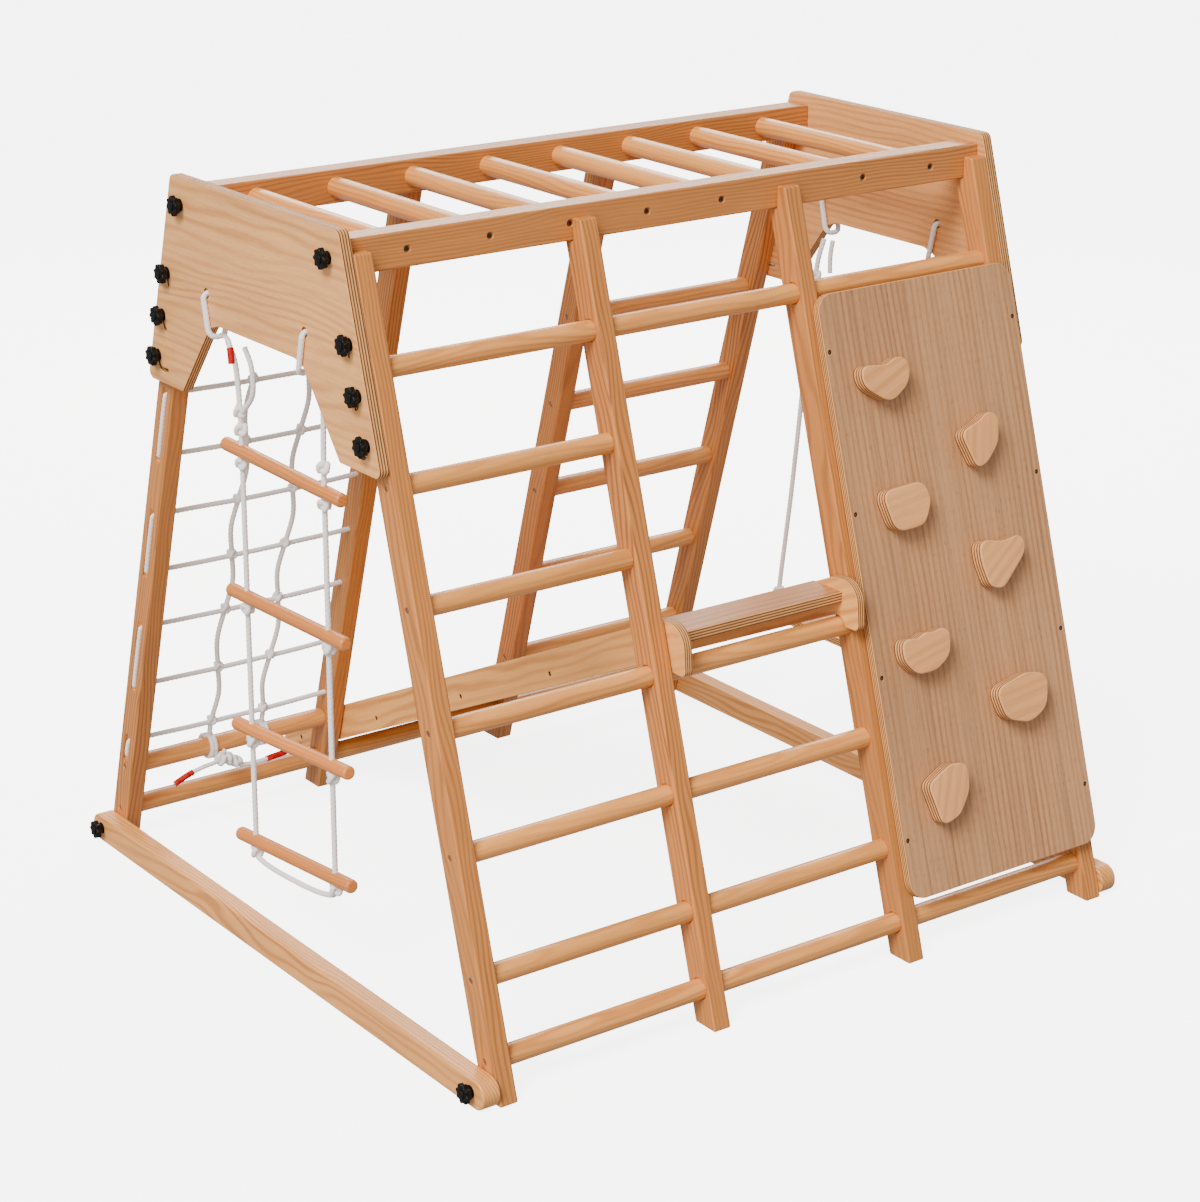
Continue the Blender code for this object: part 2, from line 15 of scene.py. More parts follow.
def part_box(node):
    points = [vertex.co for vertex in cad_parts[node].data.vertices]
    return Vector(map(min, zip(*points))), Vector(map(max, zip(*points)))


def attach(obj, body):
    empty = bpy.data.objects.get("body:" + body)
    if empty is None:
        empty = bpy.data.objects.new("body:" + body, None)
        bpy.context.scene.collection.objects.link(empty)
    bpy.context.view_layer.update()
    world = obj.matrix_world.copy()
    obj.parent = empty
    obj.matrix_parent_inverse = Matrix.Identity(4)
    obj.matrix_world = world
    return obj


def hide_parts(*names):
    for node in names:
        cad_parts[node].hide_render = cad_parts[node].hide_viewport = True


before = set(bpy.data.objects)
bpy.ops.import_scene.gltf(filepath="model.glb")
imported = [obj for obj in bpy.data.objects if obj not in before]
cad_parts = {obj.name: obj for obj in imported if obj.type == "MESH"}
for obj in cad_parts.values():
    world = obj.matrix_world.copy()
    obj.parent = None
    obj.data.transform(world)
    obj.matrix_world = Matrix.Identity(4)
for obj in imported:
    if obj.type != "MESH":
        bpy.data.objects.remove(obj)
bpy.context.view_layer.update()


def centre(node):
    """The middle of a CAD part's box."""
    low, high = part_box(node)
    return (low + high) / 2


# ---- Sizes, as the CAD model has them ----
SHIFT_Y = (centre("front_rail").y + centre("rear_rail").y) / 2
HALF_SPAN = 0.58
STILE_WIDTH, STILE_DEPTH, STILE_TOP = 0.031, 0.046, 1.176
FOOT_Y, LEAN = 0.5722, 0.2919
RAIL_Y, RAIL_Z, RAIL_WIDTH, RAIL_HEIGHT = 0.2124, 1.1674, 0.042, 0.054
DOWEL_RADIUS = 0.016
FRONT_DOWEL_Z = (1.014, 0.853, 0.686, 0.5155, 0.3425, 0.171, 0.057)
FRONT_DOWEL_BAYS = (3, 1, 1, 2, 2, 2, 3)
REAR_DOWEL_Z = (0.853, 0.686, 0.5155, 0.3425, 0.171)
NET_DOWEL_Z, REAR_FOOT_DOWEL_Z = 0.1425, 0.058
PANEL_THICKNESS, PANEL_TOP, PANEL_FOOT, ARCH_TOP = 0.018, 1.211, 0.872, 1.0
ROPE_HOLE_Y, ROPE_HOLE_Z, ROPE_HOLE_RADIUS = 0.143, 1.045, 0.0075
BASE_HEIGHT, BASE_WIDTH = 0.046, 0.031
WALL_THICKNESS, WALL_LEFT, WALL_LOW, WALL_HIGH, WALL_CORNER = 0.015, 0.192, 0.0911, 1.0474, 0.03
HOLD_THICKNESS = 0.025
SLIDE_HALF_WIDTH, SLIDE_BOARD, SLIDE_SLOPE = 0.1755, 0.015, 0.4685
SLIDE_TOP_EDGE, SLIDE_LOW_EDGE, SLIDE_END_Y = 0.4021, 0.3385, 0.722
SLIDE_BED_THICKNESS, SLIDE_BED_DROP = 0.012, 0.009
HOOK_REACH, HOOK_LIP = 0.0505, 0.004
ENTRY_Y, ENTRY_Z, ENTRY_DEPTH, ENTRY_THICKNESS = -0.398, 0.566, 0.068, 0.018
RAIL_BOLT_Y, BASE_BOLT_Y, BASE_BOLT_Z = 0.214, 0.5655, 0.025
ROPE_RADIUS, STRAND_RADIUS, TAIL_RADIUS, SLEEVE_RADIUS = 0.004, 0.0038, 0.0036, 0.0052
NET_ROW_Z = (0.843, 0.733, 0.626, 0.521, 0.416, 0.302, 0.194)
NET_COLUMN_X = (-0.435, -0.333)
LADDER_X, LADDER_ROPE_Y = -0.575, 0.121
LADDER_RUNG_Z, LADDER_TILT = (0.795, 0.565, 0.350, 0.162), (0.8, -1.8, -5.0, -5.7)
LADDER_RUNG_LENGTH, LADDER_RUNG_RADIUS, LADDER_LOOP_DROP = 0.345, 0.011, 0.031
SWING_X, SWING_SEAT_Z, SWING_ROPE_Y = 0.575, 0.283, 0.218
SWING_SEAT_LENGTH, SWING_SEAT_WIDTH, SWING_SEAT_THICKNESS = 0.49, 0.102, 0.015
LOOP_LOW_Z, LOOP_LOW_Y, HANG_X, HANG_Z = 0.9795, 0.131, 0.587, 0.9755

LEAN_ANGLE = math.atan(LEAN)
STILE_X = [-HALF_SPAN + i * HALF_SPAN / 1.5 for i in range(4)]
STILE_REACH = STILE_DEPTH / 2 / math.cos(LEAN_ANGLE)
END_FACE = HALF_SPAN + STILE_WIDTH / 2
GAP = 0.0003
HOOK_Z = FRONT_DOWEL_Z[3]
SLIDE_ANGLE = math.atan(SLIDE_SLOPE)
SHIFT = Matrix.Translation((0, SHIFT_Y, 0))
HERE = Matrix.Identity(4)


# ---- Camera, floor and light ----
def look_and_light():
    """The camera, a white floor that glows but throws no light on the frame, and soft studio light."""
    camera = bpy.data.objects.new("camera", bpy.data.cameras.new("camera"))
    camera.data.lens, camera.data.sensor_width = 90.15, 36.0
    camera.data.shift_x, camera.data.shift_y = 0.0083, -0.0757
    camera.data.clip_end = 50.0
    camera.location = (-2.7250, -3.7487 + SHIFT_Y, 2.1256)
    camera.rotation_euler = (math.radians(90 - 17.945), 0, math.radians(-35.944))
    bpy.context.scene.collection.objects.link(camera)
    bpy.context.scene.camera = camera

    world = bpy.data.worlds.new("studio")
    bpy.context.scene.world = world
    world.use_nodes = True
    back = world.node_tree.nodes["Background"]
    back.inputs["Color"].default_value = (1.0, 0.995, 0.985, 1.0)
    back.inputs["Strength"].default_value = 0.47

    sheet = bmesh.new()
    bmesh.ops.create_grid(sheet, x_segments=1, y_segments=1, size=14)
    mesh = finished("floor", sheet)
    floor = bpy.data.objects.new("floor", mesh)
    bpy.context.scene.collection.objects.link(floor)
    pale = bpy.data.materials.new("floor_paint")
    pale.use_nodes = True
    shader = pale.node_tree.nodes["Principled BSDF"]
    shader.inputs["Base Color"].default_value = (0.93, 0.93, 0.93, 1.0)
    shader.inputs["Roughness"].default_value = 0.9
    shader.inputs["Emission Color"].default_value = (1.0, 1.0, 1.0, 1.0)
    shader.inputs["Emission Strength"].default_value = 5.0
    floor.visible_diffuse, floor.visible_glossy = False, False
    mesh.materials.append(pale)

    sun = bpy.data.lights.new("key", "SUN")
    sun.energy, sun.angle = 4.5, 0.45
    aim(sun, (-2.5, -1.1, 3.5))
    for name, place, width, height, power in (("back", (2.3, 3.1, 3.1), 4.5, 1.8, 190),
                                              ("fill", (-3.2, -2.6, 1.9), 2.4, 2.4, 62)):
        light = bpy.data.lights.new(name, "AREA")
        light.color = (1.0, 0.94, 0.86)
        light.shape, light.size, light.size_y, light.energy = "RECTANGLE", width, height, power
        aim(light, place)


def aim(light, place):
    """Put a light in the scene at a place, turned to the middle of the frame."""
    lamp = bpy.data.objects.new(light.name, light)
    lamp.location = place
    lamp.rotation_euler = (Vector((0, 0, 0.6)) - lamp.location).to_track_quat("-Z", "Y").to_euler()
    bpy.context.scene.collection.objects.link(lamp)


# ---- Materials ----
def tone(red, green, blue):
    """A colour as seen on a screen, 0 to 255, in Blender's linear values."""
    return (*[(c / 255) ** 2.2 for c in (red, green, blue)], 1.0)


class Nodes:
    """Builds a material's node tree, one node a call."""

    def __init__(self, name, roughness, coat=0.0):
        self.material = bpy.data.materials.new(name)
        self.material.use_nodes = True
        self.tree = self.material.node_tree
        self.shader = self.tree.nodes["Principled BSDF"]
        self.shader.inputs["Roughness"].default_value = roughness
        self.shader.inputs["Specular IOR Level"].default_value = 0.35
        self.shader.inputs["Coat Weight"].default_value = coat
        self.shader.inputs["Coat Roughness"].default_value = 0.26

    def add(self, kind, settings=None, output=0, **inputs):
        """An output of a new node, with its settings, and its inputs as values or other nodes' outputs."""
        node = self.tree.nodes.new("ShaderNode" + kind)
        for key, value in (settings or {}).items():
            setattr(node, key, value)
        for key, value in inputs.items():
            socket = node.inputs[int(key[1:])] if key[0] == "i" and key[1:].isdigit() else node.inputs[key]
            if isinstance(value, bpy.types.NodeSocket):
                self.tree.links.new(value, socket)
            else:
                socket.default_value = value
        return node.outputs[output]

    def maths(self, operation, a, b):
        return self.add("Math", {"operation": operation}, i0=a, i1=b)

    def noise(self, vector, detail=2.0, scale=1.0, roughness=0.5):
        return self.add("TexNoise", Vector=vector, Scale=scale, Detail=detail, Roughness=roughness)

    def moved(self, vector, amount, direction):
        """The vector, moved along a direction by an amount that varies."""
        amounts = self.add("CombineXYZ", i0=amount, i1=amount, i2=amount)
        return self.add("VectorMath", {"operation": "MULTIPLY_ADD"}, i0=amounts, i1=direction, i2=vector)

    def ramp(self, value, stops):
        """Colours by position; each stop is (position, colour)."""
        node = self.tree.nodes.new("ShaderNodeValToRGB")
        elements = node.color_ramp.elements
        while len(elements) < len(stops):
            elements.new(0.5)
        for element, (position, colour) in zip(elements, stops):
            element.position, element.color = position, colour
        self.tree.links.new(value, node.inputs["Fac"])
        return node.outputs["Color"]

    def mix(self, a, b, share, blend="MIX"):
        node = self.tree.nodes.new("ShaderNodeMix")
        node.data_type, node.blend_type = "RGBA", blend
        for socket, value in ((node.inputs[0], share), (node.inputs[6], a), (node.inputs[7], b)):
            if isinstance(value, bpy.types.NodeSocket):
                self.tree.links.new(value, socket)
            else:
                socket.default_value = value
        return node.outputs[2]

    def shaded(self, colour, value, low, high, share=1.0):
        """The colour multiplied by greys. low and high are each (position, brightness)."""
        greys = self.ramp(value, [(position, grey(brightness)) for position, brightness in (low, high)])
        return self.mix(colour, greys, share, "MULTIPLY")

    def finish(self, colour, height, depth, rough=None):
        """The finished material. depth is the relief's, in metres."""
        self.tree.links.new(colour, self.shader.inputs["Base Color"])
        bump = self.tree.nodes.new("ShaderNodeBump")
        bump.inputs["Strength"].default_value = 0.6
        bump.inputs["Distance"].default_value = depth
        self.tree.links.new(height, bump.inputs["Height"])
        self.tree.links.new(bump.outputs[0], self.shader.inputs["Normal"])
        if rough is not None:
            self.tree.links.new(rough, self.shader.inputs["Roughness"])
        return self.material


def grey(value):
    """A grey as a colour socket wants it."""
    return (value, value, value, 1.0)


def wood(name, light, dark, axis, ring, contrast,
         streaks=0.0, knots=0.0, wave=0.010, coat=0.15, roughness=0.42):
    """Sawn or peeled wood whose grain runs along one axis of the piece.

    ring is the rings' spacing, contrast the strength of their late wood, and wave how far they wander.
    streaks is the strength of a veneer's bands and flecks, and knots the size of the dark eyes.
    """
    n = Nodes(name, roughness, coat)
    chance = n.add("ObjectInfo", output="Random")
    moved = n.moved(n.add("TexCoord", output="Object"), chance, (3.7, 2.3, 5.1))
    grain = "XYZ".index(axis)

    def stretched(length, across):
        scale = [across] * 3
        scale[grain] = length
        return n.add("Mapping", Vector=moved, Scale=scale)

    bend = n.noise(stretched(2.2, 9.0))
    bent = n.moved(stretched(0.05, 1.0), bend, (wave * 4, wave * 4, wave * 4))
    off_centre = n.add("VectorMath", {"operation": "ADD"}, i0=bent, i1=(0.11, 0.07, 0.09))
    rings = n.add("TexWave", {"wave_type": "RINGS", "rings_direction": axis, "wave_profile": "SIN"}, "Fac",
                  Vector=off_centre, Scale=0.314 / ring, Distortion=1.6, Detail=2.0, i4=1.2)
    late = n.ramp(rings, [(0.30, grey(0.0)), (0.72, grey(0.55)), (0.93, grey(1.0))])
    broad = n.noise(stretched(1.1, 16.0), 3.0, roughness=0.6)
    broad = n.ramp(broad, [(0.32, grey(0.15)), (0.68, grey(1.0))])
    share = n.maths("MULTIPLY", n.maths("MULTIPLY", late, broad), contrast)
    colour = n.mix(light, dark, share)

    fibre = n.noise(stretched(14.0, 620.0), roughness=0.6)
    pores = n.noise(stretched(45.0, 900.0), 1.0)
    patch = n.noise(stretched(2.0, 5.0))
    colour = n.shaded(colour, fibre, (0.30, 0.86), (0.70, 1.06), 0.8)
    colour = n.shaded(colour, pores, (0.60, 1.0), (0.72, 0.86), 0.7)
    colour = n.shaded(colour, patch, (0.30, 0.90), (0.70, 1.05))
    warm = n.ramp(chance, [(0.0, (0.94, 0.91, 0.87, 1.0)), (0.5, grey(1.0)), (1.0, (1.06, 1.03, 1.00, 1.0))])
    colour = n.mix(colour, warm, 1.0, "MULTIPLY")
    if streaks:
        bands = n.noise(stretched(0.9, 120.0), 4.0, roughness=0.7)
        bands = n.ramp(bands, [(0.32, grey(0.76)), (0.50, grey(0.98)), (0.70, grey(1.06))])
        colour = n.mix(colour, bands, streaks, "MULTIPLY")
        flecks = n.noise(stretched(70.0, 700.0), 1.0)
        colour = n.shaded(colour, flecks, (0.62, 1.0), (0.70, 0.72), streaks)
    if knots:
        eyes = n.add("TexVoronoi", Vector=stretched(4.5, 13.0), Scale=1.0, Randomness=1.0)
        eye = n.ramp(eyes, [(0.0, grey(1.0)), (knots * 0.5, grey(0.85)), (knots, grey(0.0))])
        colour = n.mix(colour, (0.16, 0.055, 0.015, 1.0), n.maths("MULTIPLY", eye, 0.8))
    height = n.maths("ADD", n.maths("MULTIPLY", fibre, 0.7), n.maths("MULTIPLY", share, -0.5))
    rough = n.maths("ADD", n.maths("MULTIPLY", share, 0.14), roughness - 0.04)
    return n.finish(colour, height, 0.00025, rough)


def ply_edge(name, light, dark, pair):
    """A plywood board's layers, across its thickness (the piece's Z). pair is the height of two of them."""
    n = Nodes(name, 0.55)
    place = n.add("TexCoord", output="Object")
    z = n.add("SeparateXYZ", output="Z", Vector=place)
    wobble = n.noise(place, scale=38.0)
    z = n.maths("ADD", z, n.maths("MULTIPLY", wobble, 0.00035))
    layer = n.maths("FRACT", n.maths("ADD", n.maths("DIVIDE", z, pair), 20.25), 0.0)
    stripe = n.ramp(layer, [(0.0, grey(0.0)), (0.44, grey(0.05)), (0.52, grey(1.0)), (0.90, grey(0.85)),
                            (1.0, grey(0.1))])
    ends = n.noise(n.add("Mapping", Vector=place, Scale=(260.0, 260.0, 900.0)))
    blotch = n.noise(place, scale=22.0)
    colour = n.shaded(n.mix(light, dark, stripe), ends, (0.3, 0.80), (0.7, 1.10), 0.8)
    colour = n.shaded(colour, blotch, (0.3, 0.88), (0.7, 1.06))
    height = n.maths("SUBTRACT", n.maths("MULTIPLY", ends, 0.4), n.maths("MULTIPLY", stripe, 0.6))
    return n.finish(colour, height, 0.0003)


def cotton():
    """White cotton yarn with a slight sheen. The rope's strands are in its mesh."""
    n = Nodes("cotton_rope", 0.85)
    n.shader.inputs["Sheen Weight"].default_value = 0.8
    n.shader.inputs["Sheen Roughness"].default_value = 0.5
    place = n.add("TexCoord", output="Object")
    fuzz = n.noise(place, 3.0, 2600.0, 0.65)
    yarn = n.add("TexVoronoi", Vector=place, Scale=900.0)
    dirt = n.noise(place, 3.0, 18.0)
    colour = n.ramp(yarn, [(0.0, tone(255, 254, 252)), (0.8, tone(240, 233, 230))])
    colour = n.shaded(colour, fuzz, (0.3, 0.94), (0.7, 1.03), 0.8)
    colour = n.shaded(colour, dirt, (0.3, 0.96), (0.7, 1.01))
    height = n.maths("ADD", fuzz, n.maths("MULTIPLY", yarn, -0.8))
    return n.finish(colour, height, 0.0003)


def plastic(name, colour, roughness):
    """Moulded plastic with a fine grain, and patches where handling has changed its shade and gloss."""
    n = Nodes(name, roughness)
    n.shader.inputs["Specular IOR Level"].default_value = 0.22
    place = n.add("TexCoord", output="Object")
    grain = n.noise(place, scale=2400.0)
    haze = n.noise(place, 3.0, 160.0)
    colour = n.shaded(colour, haze, (0.35, 0.75), (0.7, 1.5))
    rough = n.maths("ADD", n.maths("MULTIPLY", haze, 0.18), roughness - 0.06)
    return n.finish(colour, grain, 0.00012, rough)


def steel(name, colour):
    """Plated steel with fine scratches."""
    n = Nodes(name, 0.34)
    n.shader.inputs["Metallic"].default_value = 1.0
    place = n.add("TexCoord", output="Object")
    lines = n.noise(n.add("Mapping", Vector=place, Scale=(900.0, 5000.0, 900.0)))
    colour = n.shaded(colour, lines, (0.3, 0.7), (0.7, 1.15), 0.8)
    return n.finish(colour, lines, 0.00005, n.maths("ADD", n.maths("MULTIPLY", lines, 0.25), 0.22))


PINE = (tone(210, 134, 68), tone(152, 88, 38))
MATERIALS = {
    "stile": wood("stile_pine", *PINE, "Y", 0.0060, 0.80, knots=0.09, coat=0.25),
    "rail": wood("rail_pine", *PINE, "X", 0.0055, 0.80, coat=0.35),
    "base": wood("base_pine", tone(242, 166, 92), tone(188, 114, 54), "X", 0.0060, 0.80, coat=0.25),
    "dowel": wood("dowel_pine", tone(242, 162, 82), tone(196, 112, 46), "Z", 0.0065, 0.70, coat=0.6),
    "rung": wood("rung_beech", tone(226, 138, 68), tone(182, 96, 42), "Z", 0.0060, 0.5),
    "panel": wood("panel_ply_face", tone(246, 176, 108), tone(196, 116, 56),
                  "X", 0.011, 0.60, streaks=0.5, wave=0.011),
    "wall": wood("wall_ply_face", tone(202, 147, 102), tone(154, 98, 58),
                 "Y", 0.0075, 0.60, streaks=1.0, wave=0.003),
    "hold": wood("hold_ply_face", tone(246, 174, 110), tone(204, 126, 68),
                 "X", 0.008, 0.5, streaks=0.4, wave=0.004),
    "slide": wood("slide_ply_face", tone(232, 160, 88), tone(188, 112, 50),
                  "Y", 0.010, 0.5, streaks=0.5, wave=0.006),
    "side": wood("slide_side_ply_face", tone(246, 176, 98), tone(194, 108, 48),
                 "X", 0.009, 0.7, wave=0.008),
    "board": wood("entry_ply_face", tone(196, 130, 76), tone(150, 86, 42),
                  "X", 0.007, 0.6, streaks=0.6, wave=0.004),
    "panel_edge": ply_edge("panel_ply_edge", tone(238, 172, 104), tone(96, 46, 18), 0.0045),
    "wall_edge": ply_edge("wall_ply_edge", tone(238, 172, 104), tone(100, 48, 20), 0.0038),
    "hold_edge": ply_edge("hold_ply_edge", tone(232, 170, 112), tone(100, 50, 22), 0.0060),
    "rope": cotton(),
    "knob": plastic("black_plastic", (0.0022, 0.0018, 0.0016, 1.0), 0.45),
    "tip": plastic("red_sleeve", (0.42, 0.003, 0.002, 1.0), 0.38),
    "dark_screw": steel("dark_screw", (0.12, 0.085, 0.060, 1.0)),
    "pale_screw": steel("zinc_screw", (0.46, 0.36, 0.27, 1.0)),
}


# ---- Shapes ----
def finished(name, shape, smooth_to=None):
    """The mesh of a bmesh, which it frees, shaded smooth across edges of less than an angle in degrees."""
    mesh = bpy.data.meshes.new(name)
    shape.to_mesh(mesh)
    shape.free()
    if smooth_to is not None:
        mesh.shade_smooth()
        mesh.set_sharp_from_angle(angle=math.radians(smooth_to))
    return mesh


def add_piece(name, mesh, finishes, place, body, replaced=()):
    """A named piece of a mesh in its place, which rides on a body."""
    piece = bpy.data.objects.new(name + "_look" if replaced else name, mesh)
    bpy.context.scene.collection.objects.link(piece)
    piece.matrix_world = SHIFT @ place
    for finish in finishes:
        mesh.materials.append(MATERIALS[finish])
    bpy.context.view_layer.update()
    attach(piece, body)
    if replaced:
        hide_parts(*replaced)
    return piece


def settle_normals(piece):
    """Flat faces stay flat beside their eased edges."""
    weighted = piece.modifiers.new("flat_faces", "WEIGHTED_NORMAL")
    weighted.keep_sharp = True
    weighted.weight = 90


def from_curve(name, curve):
    """The closed mesh of a filled or bevelled curve, with its caps welded on."""
    holder = bpy.data.objects.new(name + "_curve", curve)
    bpy.context.scene.collection.objects.link(holder)
    graph = bpy.context.evaluated_depsgraph_get()
    mesh = bpy.data.meshes.new_from_object(holder.evaluated_get(graph))
    mesh.name = name
    bpy.data.objects.remove(holder)
    bpy.data.curves.remove(curve)
    welded = bmesh.new()
    welded.from_mesh(mesh)
    bmesh.ops.remove_doubles(welded, verts=welded.verts, dist=0.00002)
    bmesh.ops.recalc_face_normals(welded, faces=welded.faces)
    welded.to_mesh(mesh)
    welded.free()
    return mesh


def flat_mesh(name, outlines, thickness, edge):
    """A board of filled outlines, the later ones holes. Its sides and eased edges take the second finish."""
    curve = bpy.data.curves.new(name, "CURVE")
    curve.dimensions = "2D"
    curve.fill_mode = "BOTH"
    curve.extrude = thickness / 2 - edge
    curve.bevel_depth = edge
    curve.bevel_resolution = 2
    curve.offset = -edge
    for outline in outlines:
        spline = curve.splines.new("POLY")
        spline.points.add(len(outline) - 1)
        for point, (x, y) in zip(spline.points, outline):
            point.co = (x, y, 0, 1)
        spline.use_cyclic_u = True
    mesh = from_curve(name, curve)
    for face in mesh.polygons:
        face.material_index = int(abs(face.normal.z) < 0.8)
    mesh.shade_smooth()
    mesh.set_sharp_from_angle(angle=math.radians(50))
    return mesh


def board(name, outlines, thickness, place, body, finishes, edge):
    """A board for the CAD node of its name. Its finishes are one for all, or its faces' and its edge's."""
    mesh = flat_mesh(name, outlines, thickness, edge)
    if len(finishes) == 1:
        for polygon in mesh.polygons:
            polygon.material_index = 0
    piece = add_piece(name, mesh, finishes, place, body, [name])
    settle_normals(piece)
    return piece


def rounded(corners, steps=8):
    """The outline through corners (x, y, radius), each rounded with an arc."""
    outline = []
    for i, (x, y, radius) in enumerate(corners):
        here = Vector((x, y))
        before = (Vector(corners[i - 1][:2]) - here).normalized()
        after = (Vector(corners[(i + 1) % len(corners)][:2]) - here).normalized()
        if radius == 0:
            outline.append(here)
            continue
        half = before.angle(after) / 2
        middle = here + (before + after).normalized() * radius / math.sin(half)
        start = here + before * radius / math.tan(half) - middle
        turn = math.copysign(math.pi - 2 * half, -before.cross(after))
        for step in range(steps + 1):
            outline.append(middle + Matrix.Rotation(turn * step / steps, 2) @ start)
    return outline


def circle(x, y, radius, sides=28):
    """The points of a circle's outline."""
    turns = [2 * math.pi * i / sides for i in range(sides)]
    return [(x + radius * math.cos(t), y + radius * math.sin(t)) for t in turns]


def upright(x):
    """Places an outline drawn in (Y, Z) at this X."""
    return Matrix(((0, 0, 1, x), (1, 0, 0, 0), (0, 1, 0, 0), (0, 0, 0, 1)))


def leaning(out):
    """Places an outline drawn in (X, up the lean), this far out from the front stiles' centre lines."""
    rise, fall = math.cos(LEAN_ANGLE), math.sin(LEAN_ANGLE)
    rows = (1, 0, 0, 0), (0, fall, -rise, -FOOT_Y - out * rise), (0, rise, fall, out * fall), (0, 0, 0, 1)
    return Matrix(rows)


def along(start, end):
    """Places a rod drawn along Z between two points."""
    start, end = Vector(start), Vector(end)
    return Matrix.Translation((start + end) / 2) @ (end - start).to_track_quat("Z", "X").to_matrix().to_4x4()


def rod_mesh(name, radius, length, sides, edge):
    """A round rod along Z with eased ends."""
    rod = bmesh.new()
    bmesh.ops.create_cone(rod, cap_ends=True, segments=sides, radius1=radius, radius2=radius, depth=length)
    if edge:
        rims = [e for e in rod.edges if any(len(f.verts) > 4 for f in e.link_faces)]
        bmesh.ops.bevel(rod, geom=rims, offset=edge, segments=3, profile=0.5, affect="EDGES")
    return finished(name, rod, 50)


def lathe_mesh(name, profile, sides=24):
    """A closed round body along Z, from its (radius, height) points."""
    body = bmesh.new()
    rings = []
    for radius, z in profile:
        rings.append([body.verts.new((x, y, z)) for x, y in circle(0, 0, radius, sides)])
    for low, high in zip(rings, rings[1:]):
        for k in range(sides):
            body.faces.new((low[k], low[(k + 1) % sides], high[(k + 1) % sides], high[k]))
    body.faces.new(rings[0][::-1])
    body.faces.new(rings[-1])
    return finished(name, body)


def box_mesh(name, size, edge=0.0):
    """A block round the origin, with its edges rounded."""
    box = bmesh.new()
    bmesh.ops.create_cube(box, size=1.0)
    bmesh.ops.scale(box, vec=size, verts=box.verts)
    if edge:
        bmesh.ops.bevel(box, geom=box.edges[:], offset=edge, segments=3, profile=0.5, affect="EDGES")
    return finished(name, box, 50)


def rod(name, start, end, radius, finish, body, edge):
    """A round bar for the CAD node of its name, between two points."""
    mesh = rod_mesh(name, radius, (Vector(end) - Vector(start)).length, 40, edge)
    settle_normals(add_piece(name, mesh, [finish], along(start, end), body, [name]))


def joined(name, meshes_and_places):
    """One mesh of copies of others, each in its place."""
    together = bmesh.new()
    for mesh, place in meshes_and_places:
        copy = mesh.copy()
        copy.transform(place)
        together.from_mesh(copy)
        bpy.data.meshes.remove(copy)
    return finished(name, together, 45)


def cut(piece, meshes_and_places):
    """Cut copies of meshes out of a piece, for good, in the piece's own coordinates."""
    tool = bpy.data.objects.new(piece.name + "_cutter", joined(piece.name + "_cutter", meshes_and_places))
    bpy.context.scene.collection.objects.link(tool)
    tool.matrix_world = piece.matrix_world
    bpy.context.view_layer.update()
    boolean = piece.modifiers.new("cut", "BOOLEAN")
    boolean.operation, boolean.solver, boolean.object = "DIFFERENCE", "EXACT", tool
    boolean.material_mode = "INDEX"
    while piece.modifiers[0] != boolean:
        piece.modifiers.move(len(piece.modifiers) - 1, 0)
    for modifier in piece.modifiers:
        modifier.show_viewport = modifier == boolean
    graph = bpy.context.evaluated_depsgraph_get()
    mesh = bpy.data.meshes.new_from_object(piece.evaluated_get(graph))
    piece.modifiers.remove(boolean)
    for modifier in piece.modifiers:
        modifier.show_viewport = True
    piece.data = mesh
    mesh.set_sharp_from_angle(angle=math.radians(50))
    bpy.data.objects.remove(tool)


def carved(mesh, cutters, rise):
    """The mesh with the cutters cut out one after another, then raised along Z."""
    blank = bpy.data.objects.new(mesh.name, mesh)
    bpy.context.scene.collection.objects.link(blank)
    for cutter in cutters:
        cut(blank, [cutter])
    mesh = blank.data
    mesh.transform(Matrix.Translation((0, 0, rise)))
    bpy.data.objects.remove(blank)
    return mesh


def stile_y(z):
    """Distance of a stile's centre line from the middle of the frame."""
    return FOOT_Y - LEAN * z


# ---- Screws ----
def screw_mesh():
    """A countersunk screw's head with a cross recess, its top at Z = 0."""
    thickness = 0.002
    blade = box_mesh("blade", (0.0046, 0.0010, 0.0024))
    deep = Matrix.Translation((0, 0, thickness / 2))
    slots = [(blade, deep), (blade, deep @ Matrix.Rotation(math.pi / 2, 4, "Z"))]
    return carved(rod_mesh("screw_head", 0.0040, thickness, 24, 0.0004), slots, -thickness / 2)


SCREW = screw_mesh()


def facing(point, direction, turn=0.0):
    """Places something drawn along Z at a point, facing a direction."""
    aim = Vector(direction).to_track_quat("Z", "X").to_matrix().to_4x4()
    return Matrix.Translation(point) @ aim @ Matrix.Rotation(turn, 4, "Z")


def screws(name, piece, points, direction, finish, body, depth=0.002, radius=0.0050):
    """Recesses in a board with a screw in each. The points are on its face, in coordinates before SHIFT."""
    well = lathe_mesh("well", [(radius, -depth), (radius, -0.0007), (radius + 0.0016, 0.0009)])
    to_piece = piece.matrix_world.inverted() @ SHIFT
    cutters, heads = [], []
    for i, point in enumerate(points):
        place = facing(point, direction, 0.7 * i)
        cutters.append((well, to_piece @ place))
        heads.append((SCREW, place @ Matrix.Translation((0, 0, -depth * 0.55))))
    cut(piece, cutters)
    add_piece(name, joined(name, heads), [finish], HERE, body)


